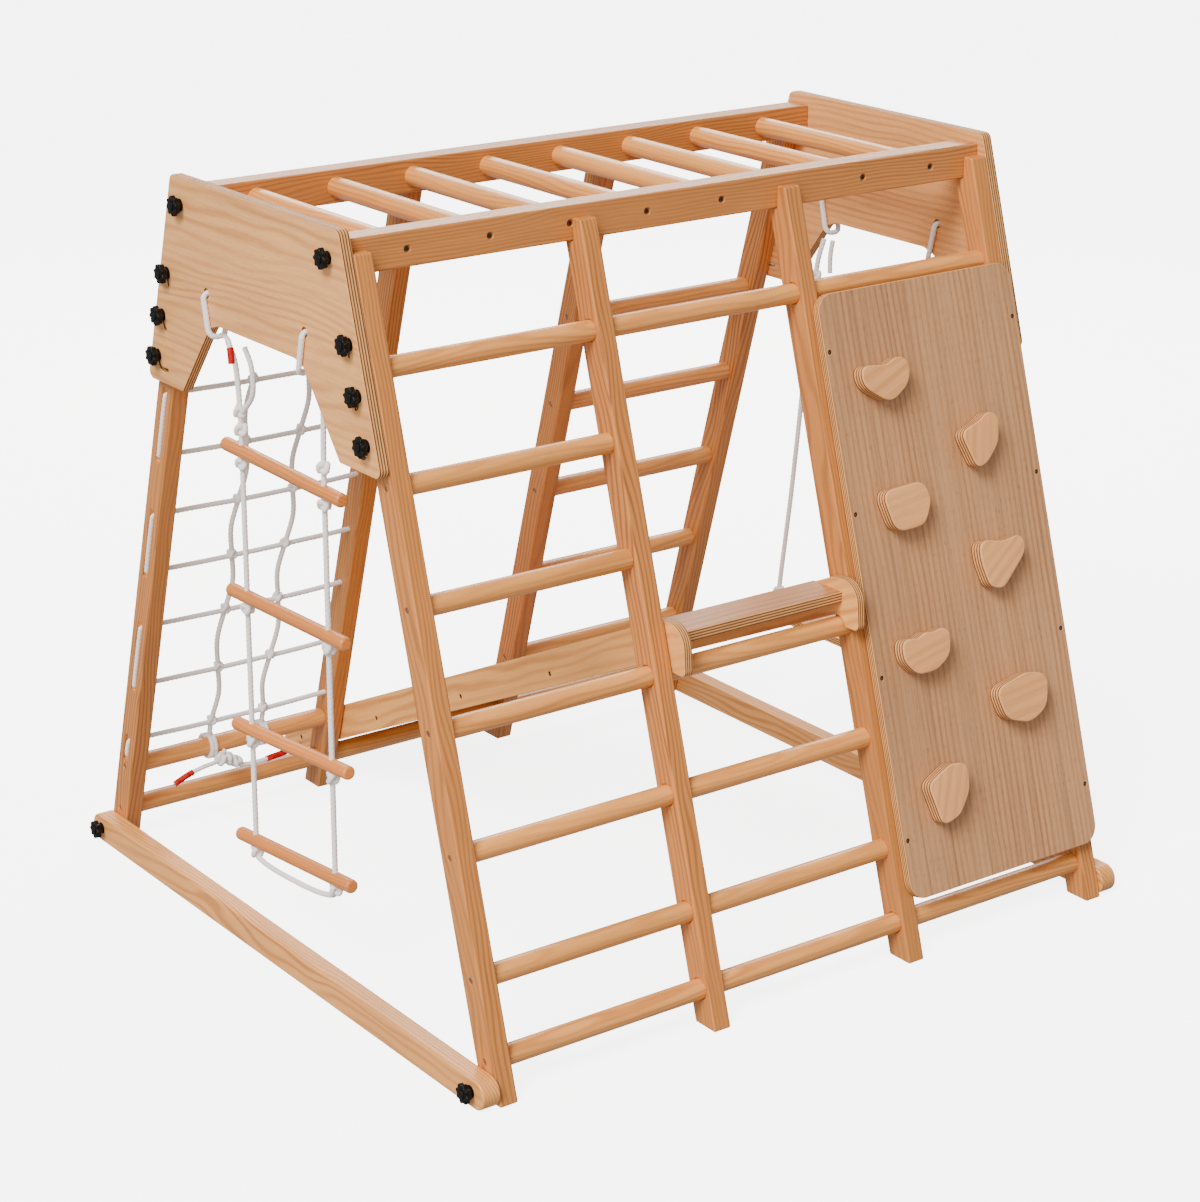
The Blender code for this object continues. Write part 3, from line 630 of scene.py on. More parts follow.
# ---- The leaning frames ----
def stiles():
    """Eight stiles, with the dowels' holes, the screws in their outer faces and the net's grooves."""
    through = {i: [] for i in range(4)}
    ends_at = {i: [] for i in range(4)}
    for z, bays in zip(FRONT_DOWEL_Z, FRONT_DOWEL_BAYS):
        for passed in range(1, bays):
            through[passed].append(z)
        ends_at[bays].append(z)
    ends_at[0] = list(FRONT_DOWEL_Z)
    for i in range(4):
        name = f"front_stile_{i + 1}"
        piece = stile(name, STILE_X[i], -1, through[i])
        screw_row(name, piece, STILE_X[i], -1, ends_at[i], -1 if i == 0 else 1)
        rear_through = [REAR_FOOT_DOWEL_Z] if 0 < i < 3 else []
        name = f"rear_stile_{i + 1}"
        piece = stile(name, STILE_X[i], 1, rear_through)
        heights = {0: [NET_DOWEL_Z, REAR_FOOT_DOWEL_Z], 1: [NET_DOWEL_Z], 2: REAR_DOWEL_Z,
                   3: [*REAR_DOWEL_Z, REAR_FOOT_DOWEL_Z]}[i]
        if i == 0:
            net_grooves(piece)
        screw_row(name, piece, STILE_X[i], 1, heights, -1 if i in (0, 2) else 1)


def stile(name, x, side, dowel_heights):
    """A leaning stile drawn along its own length, so that its grain follows it."""
    seat = RAIL_Z - RAIL_HEIGHT / 2 - GAP
    notch = RAIL_Y + RAIL_WIDTH / 2 + GAP
    corners = [
        (stile_y(0) + STILE_REACH, 0, 0.003),
        (stile_y(STILE_TOP) + STILE_REACH, STILE_TOP, 0.005),
        (notch, STILE_TOP, 0.003),
        (notch, seat, 0.0015),
        (stile_y(seat) - STILE_REACH, seat, 0.0015),
        (stile_y(0) - STILE_REACH, 0, 0.003),
    ]
    tilt = Matrix.Rotation(-side * LEAN_ANGLE, 2)
    outlines = [rounded([(side * y, z, radius) for y, z, radius in corners], 4)]
    outlines += [circle(side * stile_y(z), z, DOWEL_RADIUS + 0.0004) for z in dowel_heights]
    straight = [[tilt @ Vector(point) for point in outline] for outline in outlines]
    place = upright(x) @ Matrix.Rotation(side * LEAN_ANGLE, 4, "Z")
    return board(name, straight, STILE_WIDTH, place, "frame", ["stile"], 0.0028)


def screw_row(name, piece, x, side, heights, facing_x):
    """Screws in a stile's side face, one for each dowel that ends behind it."""
    covered = PANEL_FOOT - 0.01
    shown = [z for z in heights if abs(x) < 0.5 or z < covered]
    points = [(x + facing_x * STILE_WIDTH / 2, side * stile_y(z), z) for z in shown]
    if points:
        screws(name + "_screws", piece, points, (facing_x, 0, 0), "pale_screw", "frame")


GROOVES = [(NET_ROW_Z[0], NET_ROW_Z[1]), (NET_ROW_Z[2], NET_ROW_Z[3]), (NET_ROW_Z[4], NET_ROW_Z[5]),
           (NET_ROW_Z[6], NET_DOWEL_Z + 0.022)]


def net_grooves(piece):
    """Round-ended grooves in the end stile's outer face, for the net's lacing."""
    to_piece = piece.matrix_world.inverted() @ SHIFT
    x = -END_FACE
    cutters = []
    for high, low in GROOVES:
        ends = [(x, stile_y(z), z) for z in (high + 0.011, low - 0.011)]
        length = (Vector(ends[0]) - Vector(ends[1])).length
        cutters.append((rod_mesh("groove", 0.0075, length, 24, 0.0035), to_piece @ along(*ends)))
    for z in NET_ROW_Z:
        start, end = (x - 0.01, stile_y(z), z), (x + STILE_WIDTH + 0.01, stile_y(z), z)
        hole = rod_mesh("lacing_hole", 0.0048, STILE_WIDTH + 0.02, 20, 0)
        cutters.append((hole, to_piece @ along(start, end)))
    for cutter in cutters:
        cut(piece, [cutter])


def side_dowels():
    """Every round bar, from its place and length in the frame."""
    names = [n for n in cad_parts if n.startswith(("front_dowel", "rear_dowel", "monkey_bar"))]
    for name in sorted(names) + ["net_dowel", "rear_foot_dowel"]:
        low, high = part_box(name)
        middle = (low + high) / 2 - Vector((0, SHIFT_Y, 0))
        size = high - low
        half = Vector((size.x / 2, 0, 0)) if size.x > size.y else Vector((0, size.y / 2, 0))
        rod(name, middle - half, middle + half, DOWEL_RADIUS, "dowel", "frame", 0.0006)


def rails():
    """The two overhead rails, with a recessed screw behind each bar."""
    for name, side in (("front_rail", -1), ("rear_rail", 1)):
        mesh = box_mesh(name, (2 * END_FACE, RAIL_WIDTH, RAIL_HEIGHT), 0.003)
        place = Matrix.Translation((0, side * RAIL_Y, RAIL_Z))
        piece = add_piece(name, mesh, ["rail"], place, "frame", [name])
        settle_normals(piece)
        face = side * (RAIL_Y + RAIL_WIDTH / 2)
        points = [(centre(f"monkey_bar_{i + 1}").x, face, RAIL_Z) for i in range(8)]
        screws(name + "_screws", piece, points, (0, side, 0), "dark_screw", "frame", 0.003, 0.0058)


# ---- The ends ----
KNOB_Z = (1.053, 0.983, 0.915)
# A slot for each stile bolt: its line from the bolt, as (inward, up).
SLOTS = {
    1.053: [(0, 0), (0.001, -0.010), (0.002, -0.019)],
    0.983: [(0, 0), (0.001, -0.010), (0.004, -0.018), (0.009, -0.021)],
    0.915: [(0, 0), (0.001, -0.010), (0.006, -0.018), (0.016, -0.0205), (0.029, -0.0195)],
}


def slot_outline(side, knob_z):
    """The outline of a slot that starts under a stile bolt's knob."""
    stops = [(side * (stile_y(knob_z) - inward), knob_z + up) for inward, up in SLOTS[knob_z]]
    line = smooth_route([(y, z, 0) for y, z in stops], 5)
    left, right = [], []
    for i, point in enumerate(line):
        ahead = (line[min(i + 1, len(line) - 1)] - line[max(i - 1, 0)]).normalized()
        across = 0.0026 * Vector((-ahead.y, ahead.x, 0))
        left.append((point + across).to_2d())
        right.append((point - across).to_2d())
    tip = (line[-1] + 0.0022 * (line[-1] - line[-2]).normalized()).to_2d()
    return left + [tip] + right[::-1]


def end_panel(name, side):
    """A plywood end with an arch, two rope holes and six bolt slots."""
    edge = FOOT_Y + STILE_REACH
    half = [
        (edge - LEAN * PANEL_TOP, PANEL_TOP, 0.012),
        (edge - LEAN * PANEL_FOOT, PANEL_FOOT, 0.012),
        (0.2305, PANEL_FOOT, 0.006),
        (0.138, 0.991, 0.02),
        (0.112, ARCH_TOP, 0.02),
    ]
    mirrored = [(-y, z, radius) for y, z, radius in reversed(half)]
    outlines = [rounded(half + mirrored)]
    for hole_side in (-1, 1):
        outlines.append(circle(hole_side * ROPE_HOLE_Y, ROPE_HOLE_Z, ROPE_HOLE_RADIUS))
        outlines += [slot_outline(hole_side, z) for z in KNOB_Z]
    x = side * (END_FACE + GAP + PANEL_THICKNESS / 2)
    board(name, outlines, PANEL_THICKNESS, upright(x), "frame", ["panel", "panel_edge"], 0.0016)


def base_rail(name, side):
    """The round-ended rail along an end's feet."""
    reach, radius = 0.598, BASE_HEIGHT / 2 - 0.0001
    corners = [(reach, 0), (reach, BASE_HEIGHT), (-reach, BASE_HEIGHT), (-reach, 0)]
    outline = rounded([(y, z, radius) for y, z in corners], 12)
    x = side * (END_FACE + GAP + BASE_WIDTH / 2)
    board(name, [outline], BASE_WIDTH, upright(x), "frame", ["base"], 0.003)


def knob_mesh():
    """A moulded star knob: washer, neck, grip with eight lobes, and raised cap. Z runs out of the frame."""
    star = []
    for i in range(96):
        turn = 2 * math.pi * i / 96
        reach = 0.0142 + 0.0016 * math.cos(8 * turn)
        star.append((reach * math.cos(turn), reach * math.sin(turn)))
    layers = [(flat_mesh("grip", [star], 0.0095, 0.0022), 0.0112),
              (rod_mesh("neck", 0.0085, 0.0075, 32, 0.0006), 0.0045),
              (rod_mesh("cap", 0.0078, 0.0030, 32, 0.0009), 0.0163),
              (rod_mesh("washer", 0.0100, 0.0014, 32, 0.0004), 0.0007)]
    return joined("knob", [(mesh, Matrix.Translation((0, 0, height))) for mesh, height in layers])


def cap_bolt_mesh():
    """A low round bolt head with a hexagon socket."""
    height = 0.0042
    socket = lathe_mesh("socket", [(0.0030, 0), (0.0030, 0.01)], 6)
    return carved(rod_mesh("cap_bolt", 0.0085, height, 32, 0.0014), [(socket, HERE)], height / 2)


def knobs():
    """Star knobs on the left end and cap bolts on the right, for the rails, stiles and base rails."""
    kinds = {-1: ("star_knob", knob_mesh(), "knob"), 1: ("cap_bolt", cap_bolt_mesh(), "dark_screw")}
    for side, word in ((-1, "left"), (1, "right")):
        x = side * (END_FACE + GAP + PANEL_THICKNESS)
        places = []
        for y_side in (-1, 1):
            places.append((x, y_side * RAIL_BOLT_Y, RAIL_Z))
            places += [(x, y_side * stile_y(z), z) for z in KNOB_Z]
            places.append((side * (END_FACE + GAP + BASE_WIDTH), y_side * BASE_BOLT_Y, BASE_BOLT_Z))
        kind, mesh, finish = kinds[side]
        for i, place in enumerate(places):
            place = facing(place, (side, 0, 0), 0.35 * i)
            add_piece(f"{word}_{kind}_{i + 1}", mesh.copy(), [finish], place, "frame")


# ---- The climbing wall ----
# Each hold: its middle along X and up the lean, its grain's turn, and its corners round that middle, as
# (x, up, radius).
HOLDS = {
    "hold_bean": (0.2857, 0.8995, 20, [
        (-0.050, 0.031, 0.012), (0.003, 0.024, 0.010), (0.024, 0.034, 0.012), (0.052, 0.029, 0.016),
        (0.044, -0.010, 0.024), (0.002, -0.037, 0.026), (-0.046, -0.004, 0.026)]),
    "hold_wedge": (0.462, 0.7761, 80, [
        (-0.044, 0.019, 0.010), (-0.004, 0.031, 0.020), (0.018, 0.044, 0.012), (0.040, 0.034, 0.010),
        (0.032, -0.008, 0.030), (0.003, -0.036, 0.020), (-0.020, -0.044, 0.009)]),
    "hold_trapezoid": (0.287, 0.6992, 8, [
        (-0.047, 0.033, 0.014), (0.038, 0.036, 0.016), (0.052, 0.006, 0.030), (0.030, -0.033, 0.022),
        (-0.030, -0.035, 0.022)]),
    "hold_heart": (0.4697, 0.5806, 35, [
        (-0.051, 0.043, 0.014), (0.0, 0.031, 0.012), (0.048, 0.038, 0.015), (0.044, 0.006, 0.030),
        (-0.013, -0.044, 0.014), (-0.040, -0.036, 0.014), (-0.050, 0.004, 0.040)]),
    "hold_cloud": (0.2802, 0.4717, 12, [
        (-0.048, 0.030, 0.012), (-0.012, 0.024, 0.006), (0.000, 0.032, 0.010), (0.020, 0.027, 0.006),
        (0.030, 0.032, 0.010), (0.053, 0.028, 0.012), (0.046, -0.014, 0.026), (0.014, -0.032, 0.026),
        (-0.026, -0.032, 0.022), (-0.048, -0.006, 0.020)]),
    "hold_dome": (0.4632, 0.3576, 5, [
        (-0.056, 0.026, 0.014), (0.012, 0.040, 0.040), (0.058, 0.030, 0.018), (0.046, -0.024, 0.030),
        (0.006, -0.041, 0.030), (-0.042, -0.026, 0.026)]),
    "hold_triangle": (0.2858, 0.2457, 70, [
        (-0.046, 0.023, 0.010), (0.004, 0.045, 0.020), (0.041, 0.040, 0.014), (0.036, -0.004, 0.030),
        (0.010, -0.038, 0.024), (-0.028, -0.048, 0.010)]),
}


def softened(outline):
    """The outline with evenly spaced points, sanded smooth."""
    loop = even([Vector(p) for p in outline] + [Vector(outline[0])], 0.0022)[:-1]
    for _ in range(14):
        neighbours = zip(loop[-1:] + loop, loop, loop[1:] + loop)
        loop = [(before + 2 * here + after) / 4 for before, here, after in neighbours]
    return loop


def climbing_wall():
    """The leaning board, its countersunk screws and its holds."""
    middle = STILE_DEPTH / 2 + GAP + WALL_THICKNESS / 2
    corners = [(WALL_LEFT, WALL_LOW), (END_FACE, WALL_LOW), (END_FACE, WALL_HIGH), (WALL_LEFT, WALL_HIGH)]
    outline = rounded([(x, up, WALL_CORNER) for x, up in corners], 10)
    place = leaning(middle)
    wall = board("climbing_wall", [outline], WALL_THICKNESS, place, "frame", ["wall", "wall_edge"], 0.0014)
    face = leaning(middle + WALL_THICKNESS / 2)
    points = [face @ Vector((x, up, 0)) for x in (0.202, 0.586) for up in (0.187, 0.446, 0.704, 0.958)]
    outward = face.to_3x3() @ Vector((0, 0, 1))
    screws("climbing_wall_screws", wall, points, outward, "dark_screw", "frame", 0.0022, 0.0038)
    out = STILE_DEPTH / 2 + WALL_THICKNESS + 2 * GAP + HOLD_THICKNESS / 2
    for name, (x, up, turn, corners) in HOLDS.items():
        spin = Matrix.Rotation(math.radians(turn), 2)
        outline = softened([spin.inverted() @ point for point in rounded(corners, 8)])
        place = leaning(out) @ Matrix.Translation((x, up, 0)) @ Matrix.Rotation(math.radians(turn), 4, "Z")
        board(name, [outline], HOLD_THICKNESS, place, "frame", ["hold", "hold_edge"], 0.0024)


# ---- The slide ----
def slide_line(height, y):
    """A line that falls along the slide, by its height at Y = 0."""
    return height - SLIDE_SLOPE * y


def slide_side(name, side):
    """A plywood side whose top end hooks over a front dowel, drawn level so that its grain follows it."""
    hook_y = -stile_y(HOOK_Z)
    notch = (slide_line(SLIDE_LOW_EDGE, hook_y) - HOOK_Z) * math.cos(SLIDE_ANGLE)
    front = hook_y - HOOK_REACH
    lip = HOOK_Z + HOOK_LIP
    first = math.pi - math.asin(HOOK_LIP / notch)
    last = math.pi / 2 - SLIDE_ANGLE
    turns = [first + (last - first) * i / 16 for i in range(17)]
    corners = [
        (SLIDE_END_Y, 0, 0),
        (SLIDE_END_Y - 0.004, slide_line(SLIDE_TOP_EDGE, SLIDE_END_Y - 0.004), 0.018),
        (hook_y + 0.012, slide_line(SLIDE_TOP_EDGE, hook_y + 0.012), 0.035),
        (front + 0.006, HOOK_Z + 0.084, 0.035),
        (front, lip, 0.010),
        *[(hook_y + notch * math.cos(t), HOOK_Z + notch * math.sin(t), 0) for t in turns],
    ]
    level = Matrix.Rotation(SLIDE_ANGLE, 2)
    outline = [level @ point for point in rounded(corners, 10)]
    x = side * (SLIDE_HALF_WIDTH - SLIDE_BOARD / 2)
    place = upright(x) @ Matrix.Rotation(-SLIDE_ANGLE, 4, "Z")
    piece = board(name, [outline], SLIDE_BOARD, place, "slide", ["side", "wall_edge"], 0.0014)
    middle = (SLIDE_TOP_EDGE + SLIDE_LOW_EDGE) / 2 - SLIDE_BED_DROP
    points = [(side * SLIDE_HALF_WIDTH, y, slide_line(middle, y)) for y in (0.66, 0.40, 0.133, -0.123)]
    points.append((side * SLIDE_HALF_WIDTH, ENTRY_Y, ENTRY_Z))
    screws(name + "_screws", piece, points, (side, 0, 0), "dark_screw", "slide", 0.0022, 0.0042)


def slide():
    """Two sides with the bed and the entry board between them."""
    slide_side("slide_side_left", -1)
    slide_side("slide_side_right", 1)
    inner = SLIDE_HALF_WIDTH - SLIDE_BOARD - GAP
    start, end = -0.372, 0.700
    height = (SLIDE_TOP_EDGE + SLIDE_LOW_EDGE) / 2 - SLIDE_BED_DROP
    middle = (start + end) / 2
    half = (end - start) / 2 / math.cos(SLIDE_ANGLE)
    outline = [(inner, -half), (inner, half), (-inner, half), (-inner, -half)]
    place = Matrix.Translation((0, middle, slide_line(height, middle)))
    place = place @ Matrix.Rotation(-SLIDE_ANGLE, 4, "X")
    board("slide_bed", [outline], SLIDE_BED_THICKNESS, place, "slide", ["slide", "wall_edge"], 0.0012)
    half = ENTRY_DEPTH / 2
    outline = [(inner, -half), (inner, half), (-inner, half), (-inner, -half)]
    place = Matrix.Translation((0, ENTRY_Y, ENTRY_Z))
    board("slide_entry_board", [outline], ENTRY_THICKNESS, place, "slide", ["board", "panel_edge"], 0.0016)


# ---- Ropes ----
def smooth_route(stops, pieces):
    """Points along a smooth curve through the stops, this many for each stretch."""
    stops = [Vector(stop) for stop in stops]
    ends = [2 * stops[0] - stops[1]] + stops + [2 * stops[-1] - stops[-2]]
    route = []
    for a, b, c, d in zip(ends, ends[1:], ends[2:], ends[3:]):
        for i in range(pieces):
            t = i / pieces
            route.append(0.5 * (2 * b + (c - a) * t + (2 * a - 5 * b + 4 * c - d) * t**2
                                + (3 * b - a - 3 * c + d) * t**3))
    return route + [stops[-1]]


def even(route, step):
    """The same route, with points about a step apart."""
    lengths = [(b - a).length for a, b in zip(route, route[1:])]
    count = max(2, round(sum(lengths) / step))
    spots, i, done = [], 0, 0.0
    for k in range(count + 1):
        target = sum(lengths) * k / count
        while i < len(lengths) - 1 and done + lengths[i] < target:
            done += lengths[i]
            i += 1
        share = (target - done) / max(lengths[i], 1e-9)
        spots.append(route[i].lerp(route[i + 1], min(1.0, share)))
    return spots


def twisted_mesh(name, route, radius=ROPE_RADIUS, closed=False,
                 lay_depth=0.26, pitch=0.024, sides=16, step=0.0022):
    """A rope of three strands laid round each other along the route, or a smooth tube if lay_depth is 0.

    pitch is the length of one full turn of the strands.
    """
    points = even(route, step)
    if closed:
        points = points[:-1]
    count = len(points)
    rope = bmesh.new()
    normal = None
    rings = []
    for i, point in enumerate(points):
        ahead = points[(i + 1) % count] if closed or i + 1 < count else point
        behind = points[i - 1] if closed or i else point
        tangent = (ahead - behind).normalized()
        if normal is None:
            normal = tangent.orthogonal().normalized()
        normal = (normal - tangent * normal.dot(tangent)).normalized()
        side = tangent.cross(normal)
        lay = 2 * math.pi * i * step / pitch
        ring = []
        for k in range(sides):
            turn = 2 * math.pi * k / sides
            lobe = abs(math.cos(1.5 * (turn - lay)))
            reach = radius * (1.0 + lay_depth * (math.sqrt(lobe) - 0.46))
            ring.append(rope.verts.new(point + reach * (normal * math.cos(turn) + side * math.sin(turn))))
        rings.append(ring)
    pairs = list(zip(rings, rings[1:])) + ([(rings[-1], rings[0])] if closed else [])
    for a, b in pairs:
        for k in range(sides):
            rope.faces.new((a[k], a[(k + 1) % sides], b[(k + 1) % sides], b[k]))
    if not closed:
        rope.faces.new(rings[0][::-1])
        rope.faces.new(rings[-1])
    mesh = finished(name, rope)
    mesh.shade_smooth()
    return mesh


def rope(name, route, body, replaced=(), radius=ROPE_RADIUS, closed=False):
    """A piece of cotton rope along a route."""
    mesh = twisted_mesh(name, [Vector(p) for p in route], radius, closed)
    return add_piece(name, mesh, ["rope"], HERE, body, replaced)


def declare_cord(route):
    """Points about 6 mm apart along a limp rope's route, moved by SHIFT; nothing further is done with them.
    """
    path = [SHIFT @ point for point in even(route, 0.006)]


def knot_mesh():
    """A pulled-tight overhand knot, on a trefoil's curve."""
    width, height = 0.0066 * 0.62, 0.0066 * 0.95
    route = []
    for i in range(60):
        t = 2 * math.pi * i / 60
        x = width * (math.sin(t) + 2 * math.sin(2 * t)) / 1.6
        y = width * (math.cos(t) - 2 * math.cos(2 * t)) / 1.6
        route.append(Vector((x, y, -height * math.sin(3 * t))))
    return twisted_mesh("knot", route + [route[0]], ROPE_RADIUS, True, pitch=0.016, sides=12, step=0.0018)


KNOT = knot_mesh()


def knots(name, places, body, size=1.0):
    """Tight knots, joined as one piece. Each place is a point and a turn."""
    parts = []
    for i, (point, lean) in enumerate(places):
        turn = Matrix.Rotation(1.9 * i, 4, "Z") @ Matrix.Rotation(math.radians(lean), 4, "X")
        parts.append((KNOT, Matrix.Translation(point) @ turn @ Matrix.Scale(size, 4)))
    return add_piece(name, joined(name, parts), ["rope"], HERE, body)


def tail(name, route, body):
    """A short loose rope end with a red sleeve shrunk over its tip."""
    route = smooth_route(route, 6)
    end = rope(name, route, body, radius=TAIL_RADIUS)
    sleeve = twisted_mesh(name + "_sleeve", route[-9:], SLEEVE_RADIUS, lay_depth=0.0)
    sleeve = add_piece(name + "_sleeve", sleeve, ["tip"], HERE, body)
    declare_cord(route)


def hanging_loop(name, end_side, y_side):
    """The rope's closed loop through a panel's hole, down both faces and round the edge of its arch."""
    middle = END_FACE + GAP + PANEL_THICKNESS / 2
    outer, inner = end_side * (middle + 0.0135), end_side * (middle - 0.0150)
    low, high = LOOP_LOW_Z + 0.001, ROPE_HOLE_Z
    corners = [(outer, low, 0.010), (inner, low, 0.010), (inner, high, 0.008), (outer, high, 0.008)]
    points = []
    for x, z in rounded(corners, 6):
        rise = (z - low) / (high - low)
        bow = 0.006 * math.sin(math.pi * rise)
        y = LOOP_LOW_Y - 0.004 + (ROPE_HOLE_Y - LOOP_LOW_Y + 0.004) * rise + bow
        points.append((x, y_side * y, z))
    rope(name, points + [points[0]], "frame", [name], closed=True)


def rung_place(i):
    """A ladder rung's middle and its direction."""
    tilt = math.radians(LADDER_TILT[i])
    return Vector((LADDER_X, 0, LADDER_RUNG_Z[i])), Vector((0, math.cos(tilt), math.sin(tilt)))


def ladder_route(left, right):
    """The one rope's stops: down through the rear holes, under the lowest rung and up the front holes."""
    top = HANG_Z - 0.0048
    stops = [(-HANG_X, LOOP_LOW_Y, top), (LADDER_X - 0.002, 0.127, 0.93), (LADDER_X, 0.122, 0.86)]
    stops += down_through(left)
    for share, sag in ((0.86, 0.0), (0.4, 0.006), (-0.4, 0.007), (-0.86, 0.001)):
        crossing = left[-1].lerp(right[-1], (1 - share) / 2)
        stops.append((LADDER_X, LADDER_ROPE_Y * share, crossing.z - LADDER_LOOP_DROP - sag))
    stops += down_through(right)[::-1]
    stops += [(LADDER_X, -0.122, 0.86), (LADDER_X - 0.002, -0.127, 0.93), (-HANG_X, -LOOP_LOW_Y, top)]
    return stops


def down_through(crossings):
    """Stops above and below each rung that a rope goes down through."""
    return [place + Vector((0, 0, rise)) for place in crossings for rise in (0.02, -0.02)]


def rope_ladder():
    """Four rungs on one knotted rope, whose two ends go up to the hanging loops."""
    left, right, ties = [], [], []
    for i in range(4):
        middle, direction = rung_place(i)
        half = direction * LADDER_RUNG_LENGTH / 2
        name = f"ladder_rung_{i + 1}"
        rod(name, middle - half, middle + half, LADDER_RUNG_RADIUS, "rung", "rope_ladder", 0.0045)
        for strand, side in ((left, 1), (right, -1)):
            crossing = middle + direction * (side * LADDER_ROPE_Y / direction.y)
            strand.append(crossing)
            below = -0.019 if i < 3 else -0.018
            ties.append((crossing + Vector((0, 0, below)), 10 * side))
    for y, z in ((0.1215, 0.860), (0.1205, 0.831), (-0.1215, 0.831)):
        ties.append((Vector((LADDER_X, y, z)), 0))
    route = smooth_route(ladder_route(left, right), 6)
    piece = rope("ladder_rope", route, "rope_ladder", ["ladder_rope"])
    tied = knots("ladder_knots", ties, "rope_ladder")
    stops = [(-HANG_X, 0.080, 0.9715), (-0.581, 0.072, 0.940), (-0.576, 0.080, 0.895),
             (LADDER_X, 0.116, 0.858)]
    second = rope("ladder_second_strand", smooth_route(stops, 8), "rope_ladder", radius=STRAND_RADIUS)
    declare_cord(route)
    tail("ladder_loop_tail", [(-0.597, 0.120, 0.981), (-0.598, 0.108, 0.976), (-0.600, 0.100, 0.962),
                              (-0.601, 0.096, 0.944)], "frame")


def swing():
    """A seat on one rope, which goes down through one of its holes and up through the other."""
    length, width = SWING_SEAT_LENGTH / 2, SWING_SEAT_WIDTH / 2
    corners = [(width, -length), (width, length), (-width, length), (-width, -length)]
    outline = rounded([(x, y, 0.03) for x, y in corners], 10)
    holes = [circle(0, side * SWING_ROPE_Y, ROPE_RADIUS + 0.0014) for side in (-1, 1)]
    place = Matrix.Translation((SWING_X, 0, SWING_SEAT_Z))
    outlines = [outline] + holes
    board("swing_seat", outlines, SWING_SEAT_THICKNESS, place, "swing", ["slide", "wall_edge"], 0.002)
    half = [(HANG_X, LOOP_LOW_Y, HANG_Z - 0.0048), (SWING_X + 0.002, 0.136, 0.925)]
    half += [(SWING_X, y, z) for y, z in ((0.150, 0.82), (0.166, 0.69), (0.190, 0.50))]
    for inward, rise in ((0.002, 0.045), (0, 0.018), (0, -0.012), (0.012, -0.023), (0.06, -0.025)):
        half.append((SWING_X, SWING_ROPE_Y - inward, SWING_SEAT_Z + rise))
    route = smooth_route(half + [(x, -y, z) for x, y, z in reversed(half)], 6)
    piece = rope("swing_rope", route, "swing", ["swing_rope"])
    ties = []
    for side in (1, -1):
        ties.append((Vector((SWING_X + 0.001, side * 0.138, 0.905)), 0))
        ties.append((Vector((SWING_X, side * (SWING_ROPE_Y - 0.001), SWING_SEAT_Z + 0.021)), 0))
    tied = knots("swing_knots", ties, "swing")
    stops = [(HANG_X, 0.108, 0.9715), (HANG_X - 0.003, 0.110, 0.945), (HANG_X - 0.004, 0.109, 0.915)]
    second = rope("swing_rope_end", smooth_route(stops, 8), "swing", radius=STRAND_RADIUS)
    declare_cord(route)


def net_rows():
    """The net's level ropes, from the end stile to the next one."""
    start = STILE_X[0] + STILE_WIDTH / 2 - 0.004
    end = STILE_X[1] - STILE_WIDTH / 2
    rows = []
    for i, z in enumerate(NET_ROW_Z):
        stops = []
        for k in range(9):
            x = start + (end - start) * k / 8
            droop = 0.003 * math.sin(math.pi * k / 8) + 0.0012 * noise.noise(Vector((x * 9, z * 20, i)))
            stops.append((x, stile_y(z), z - droop))
        rows.append((twisted_mesh("row", smooth_route(stops, 4)), HERE))
    return rows


def net_column(i, x):
    """An upright rope that waves from row to row, and its two turns round the net's dowel."""
    bottom = NET_DOWEL_Z + DOWEL_RADIUS + 0.003
    stops = [(x + 0.004, stile_y(NET_ROW_Z[0] + 0.006), NET_ROW_Z[0] + 0.006)]
    for k, (z, lower) in enumerate(zip(NET_ROW_Z, NET_ROW_Z[1:] + (None,))):
        stops.append((x, stile_y(z), z))
        if lower is not None:
            wave = 0.008 * (1 if (k + i) % 2 else -1)
            stops.append((x + wave, stile_y((z + lower) / 2), (z + lower) / 2))
    stops.append((x, stile_y(bottom), bottom))
    wrap, reach = [], 0.0198
    for k in range(25):
        turn = 2 * math.pi * k / 12
        wrap.append(Vector((x - 0.006 + 0.0005 * k, stile_y(NET_DOWEL_Z) + reach * math.sin(turn),
                            NET_DOWEL_Z + reach * math.cos(turn))))
    column = twisted_mesh("column", smooth_route(stops, 6))
    return [(column, HERE), (twisted_mesh("wrap", wrap, TAIL_RADIUS), HERE)]


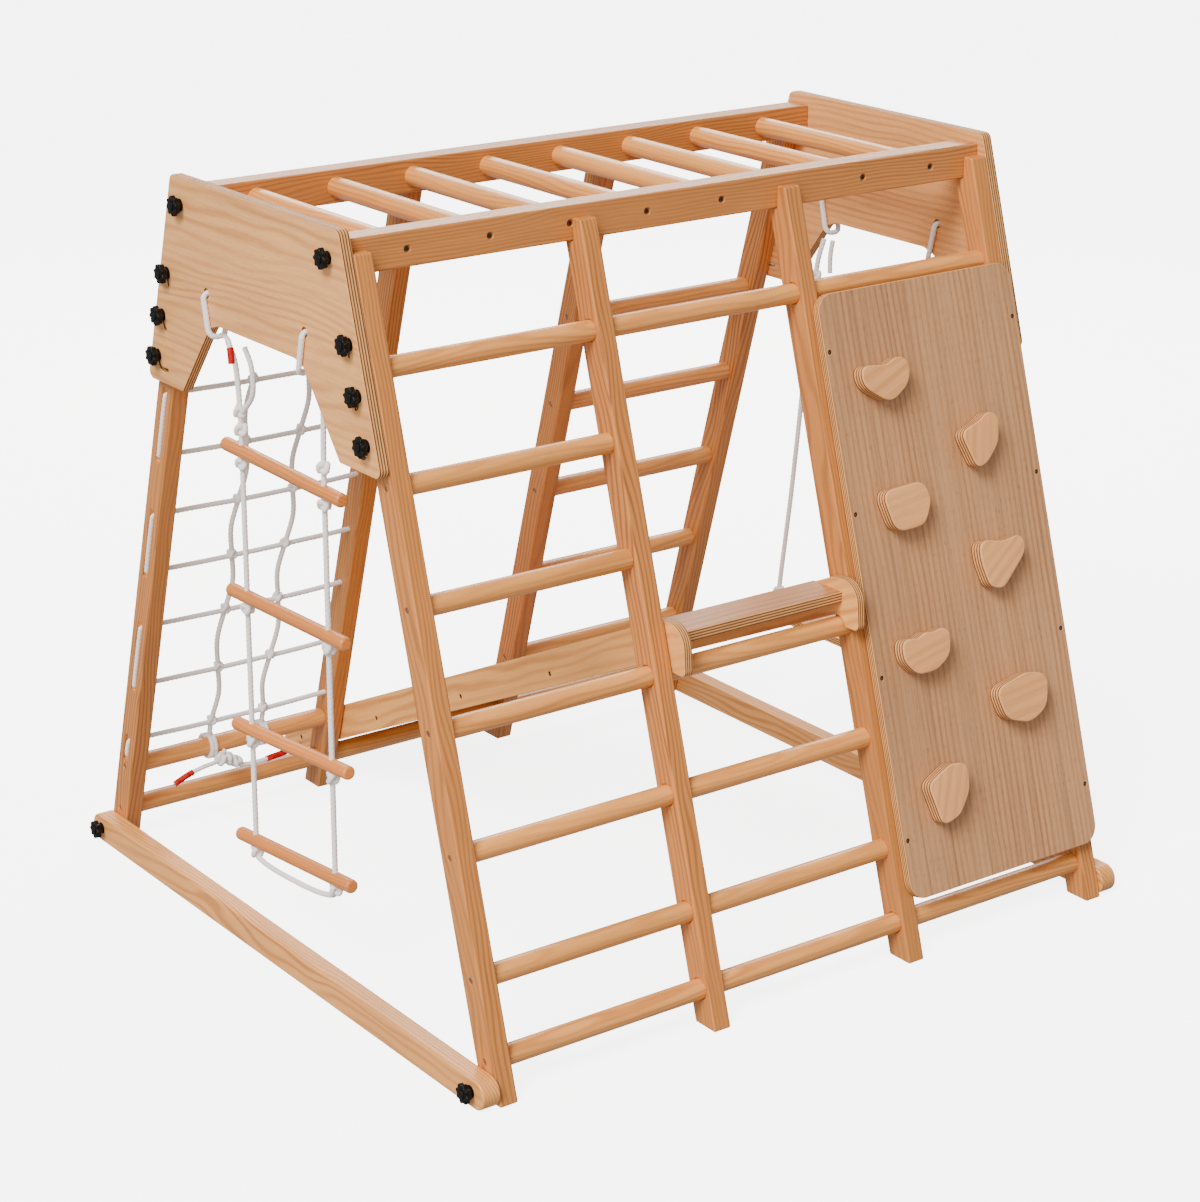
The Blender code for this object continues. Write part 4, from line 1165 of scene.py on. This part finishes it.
def net_lacing():
    """The rope's short runs along the grooves in the end stile, out of one hole and into the next."""
    x = -END_FACE + 0.0022
    runs = []
    for high, low in GROOVES:
        stops = [(x + 0.016, stile_y(high), high), (x + 0.002, stile_y(high), high - 0.001)]
        stops += [(x, stile_y(high - 0.012), high - 0.012), (x, stile_y(low + 0.012), low + 0.012)]
        stops += [(x + 0.002, stile_y(low), low + 0.001), (x + 0.016, stile_y(low), low)]
        runs.append((twisted_mesh("lacing", smooth_route(stops, 8), STRAND_RADIUS), HERE))
    add_piece("net_lacing", joined("net_lacing", runs), ["rope"], HERE, "frame")


def net():
    """Level ropes laced through the end stile, upright ropes, and knots where they cross."""
    parts, ties = net_rows(), []
    for i, x in enumerate(NET_COLUMN_X):
        parts += net_column(i, x)
        ties += [(Vector((x, stile_y(z), z)), 12 * (-1) ** k) for k, z in enumerate(NET_ROW_Z)]
    add_piece("net", joined("net", parts), ["rope"], HERE, "frame", ["net"])
    knots("net_knots", ties, "frame", 0.82)
    net_lacing()
    y = stile_y(NET_DOWEL_Z) - 0.021
    left = [(-0.412, y + 0.004, 0.134), (-0.430, y - 0.004, 0.121), (-0.462, y - 0.006, 0.117),
            (-0.490, y - 0.006, 0.110), (-0.516, y - 0.005, 0.099)]
    right = [(-0.426, y + 0.004, 0.132), (-0.410, y - 0.004, 0.112), (-0.372, y - 0.007, 0.102),
             (-0.318, y - 0.006, 0.104), (-0.266, y - 0.004, 0.110)]
    tail("net_tail_left", left, "frame")
    tail("net_tail_right", right, "frame")
    ties = [(Vector((-0.424, y - 0.003, 0.122)), 20), (Vector((-0.409, y - 0.002, 0.119)), -30),
            (Vector((-0.396, y - 0.004, 0.112)), 50)]
    knots("net_tail_knots", ties, "frame")


# ---- The whole frame ----
def build():
    look_and_light()
    stiles()
    side_dowels()
    rails()
    end_panel("left_end_panel", -1)
    end_panel("right_end_panel", 1)
    base_rail("left_base_rail", -1)
    base_rail("right_base_rail", 1)
    knobs()
    climbing_wall()
    slide()
    for y_side, word in ((1, "rear"), (-1, "front")):
        hanging_loop(f"ladder_loop_{word}", -1, y_side)
        hanging_loop(f"swing_loop_{word}", 1, y_side)
    rope_ladder()
    swing()
    net()


build()
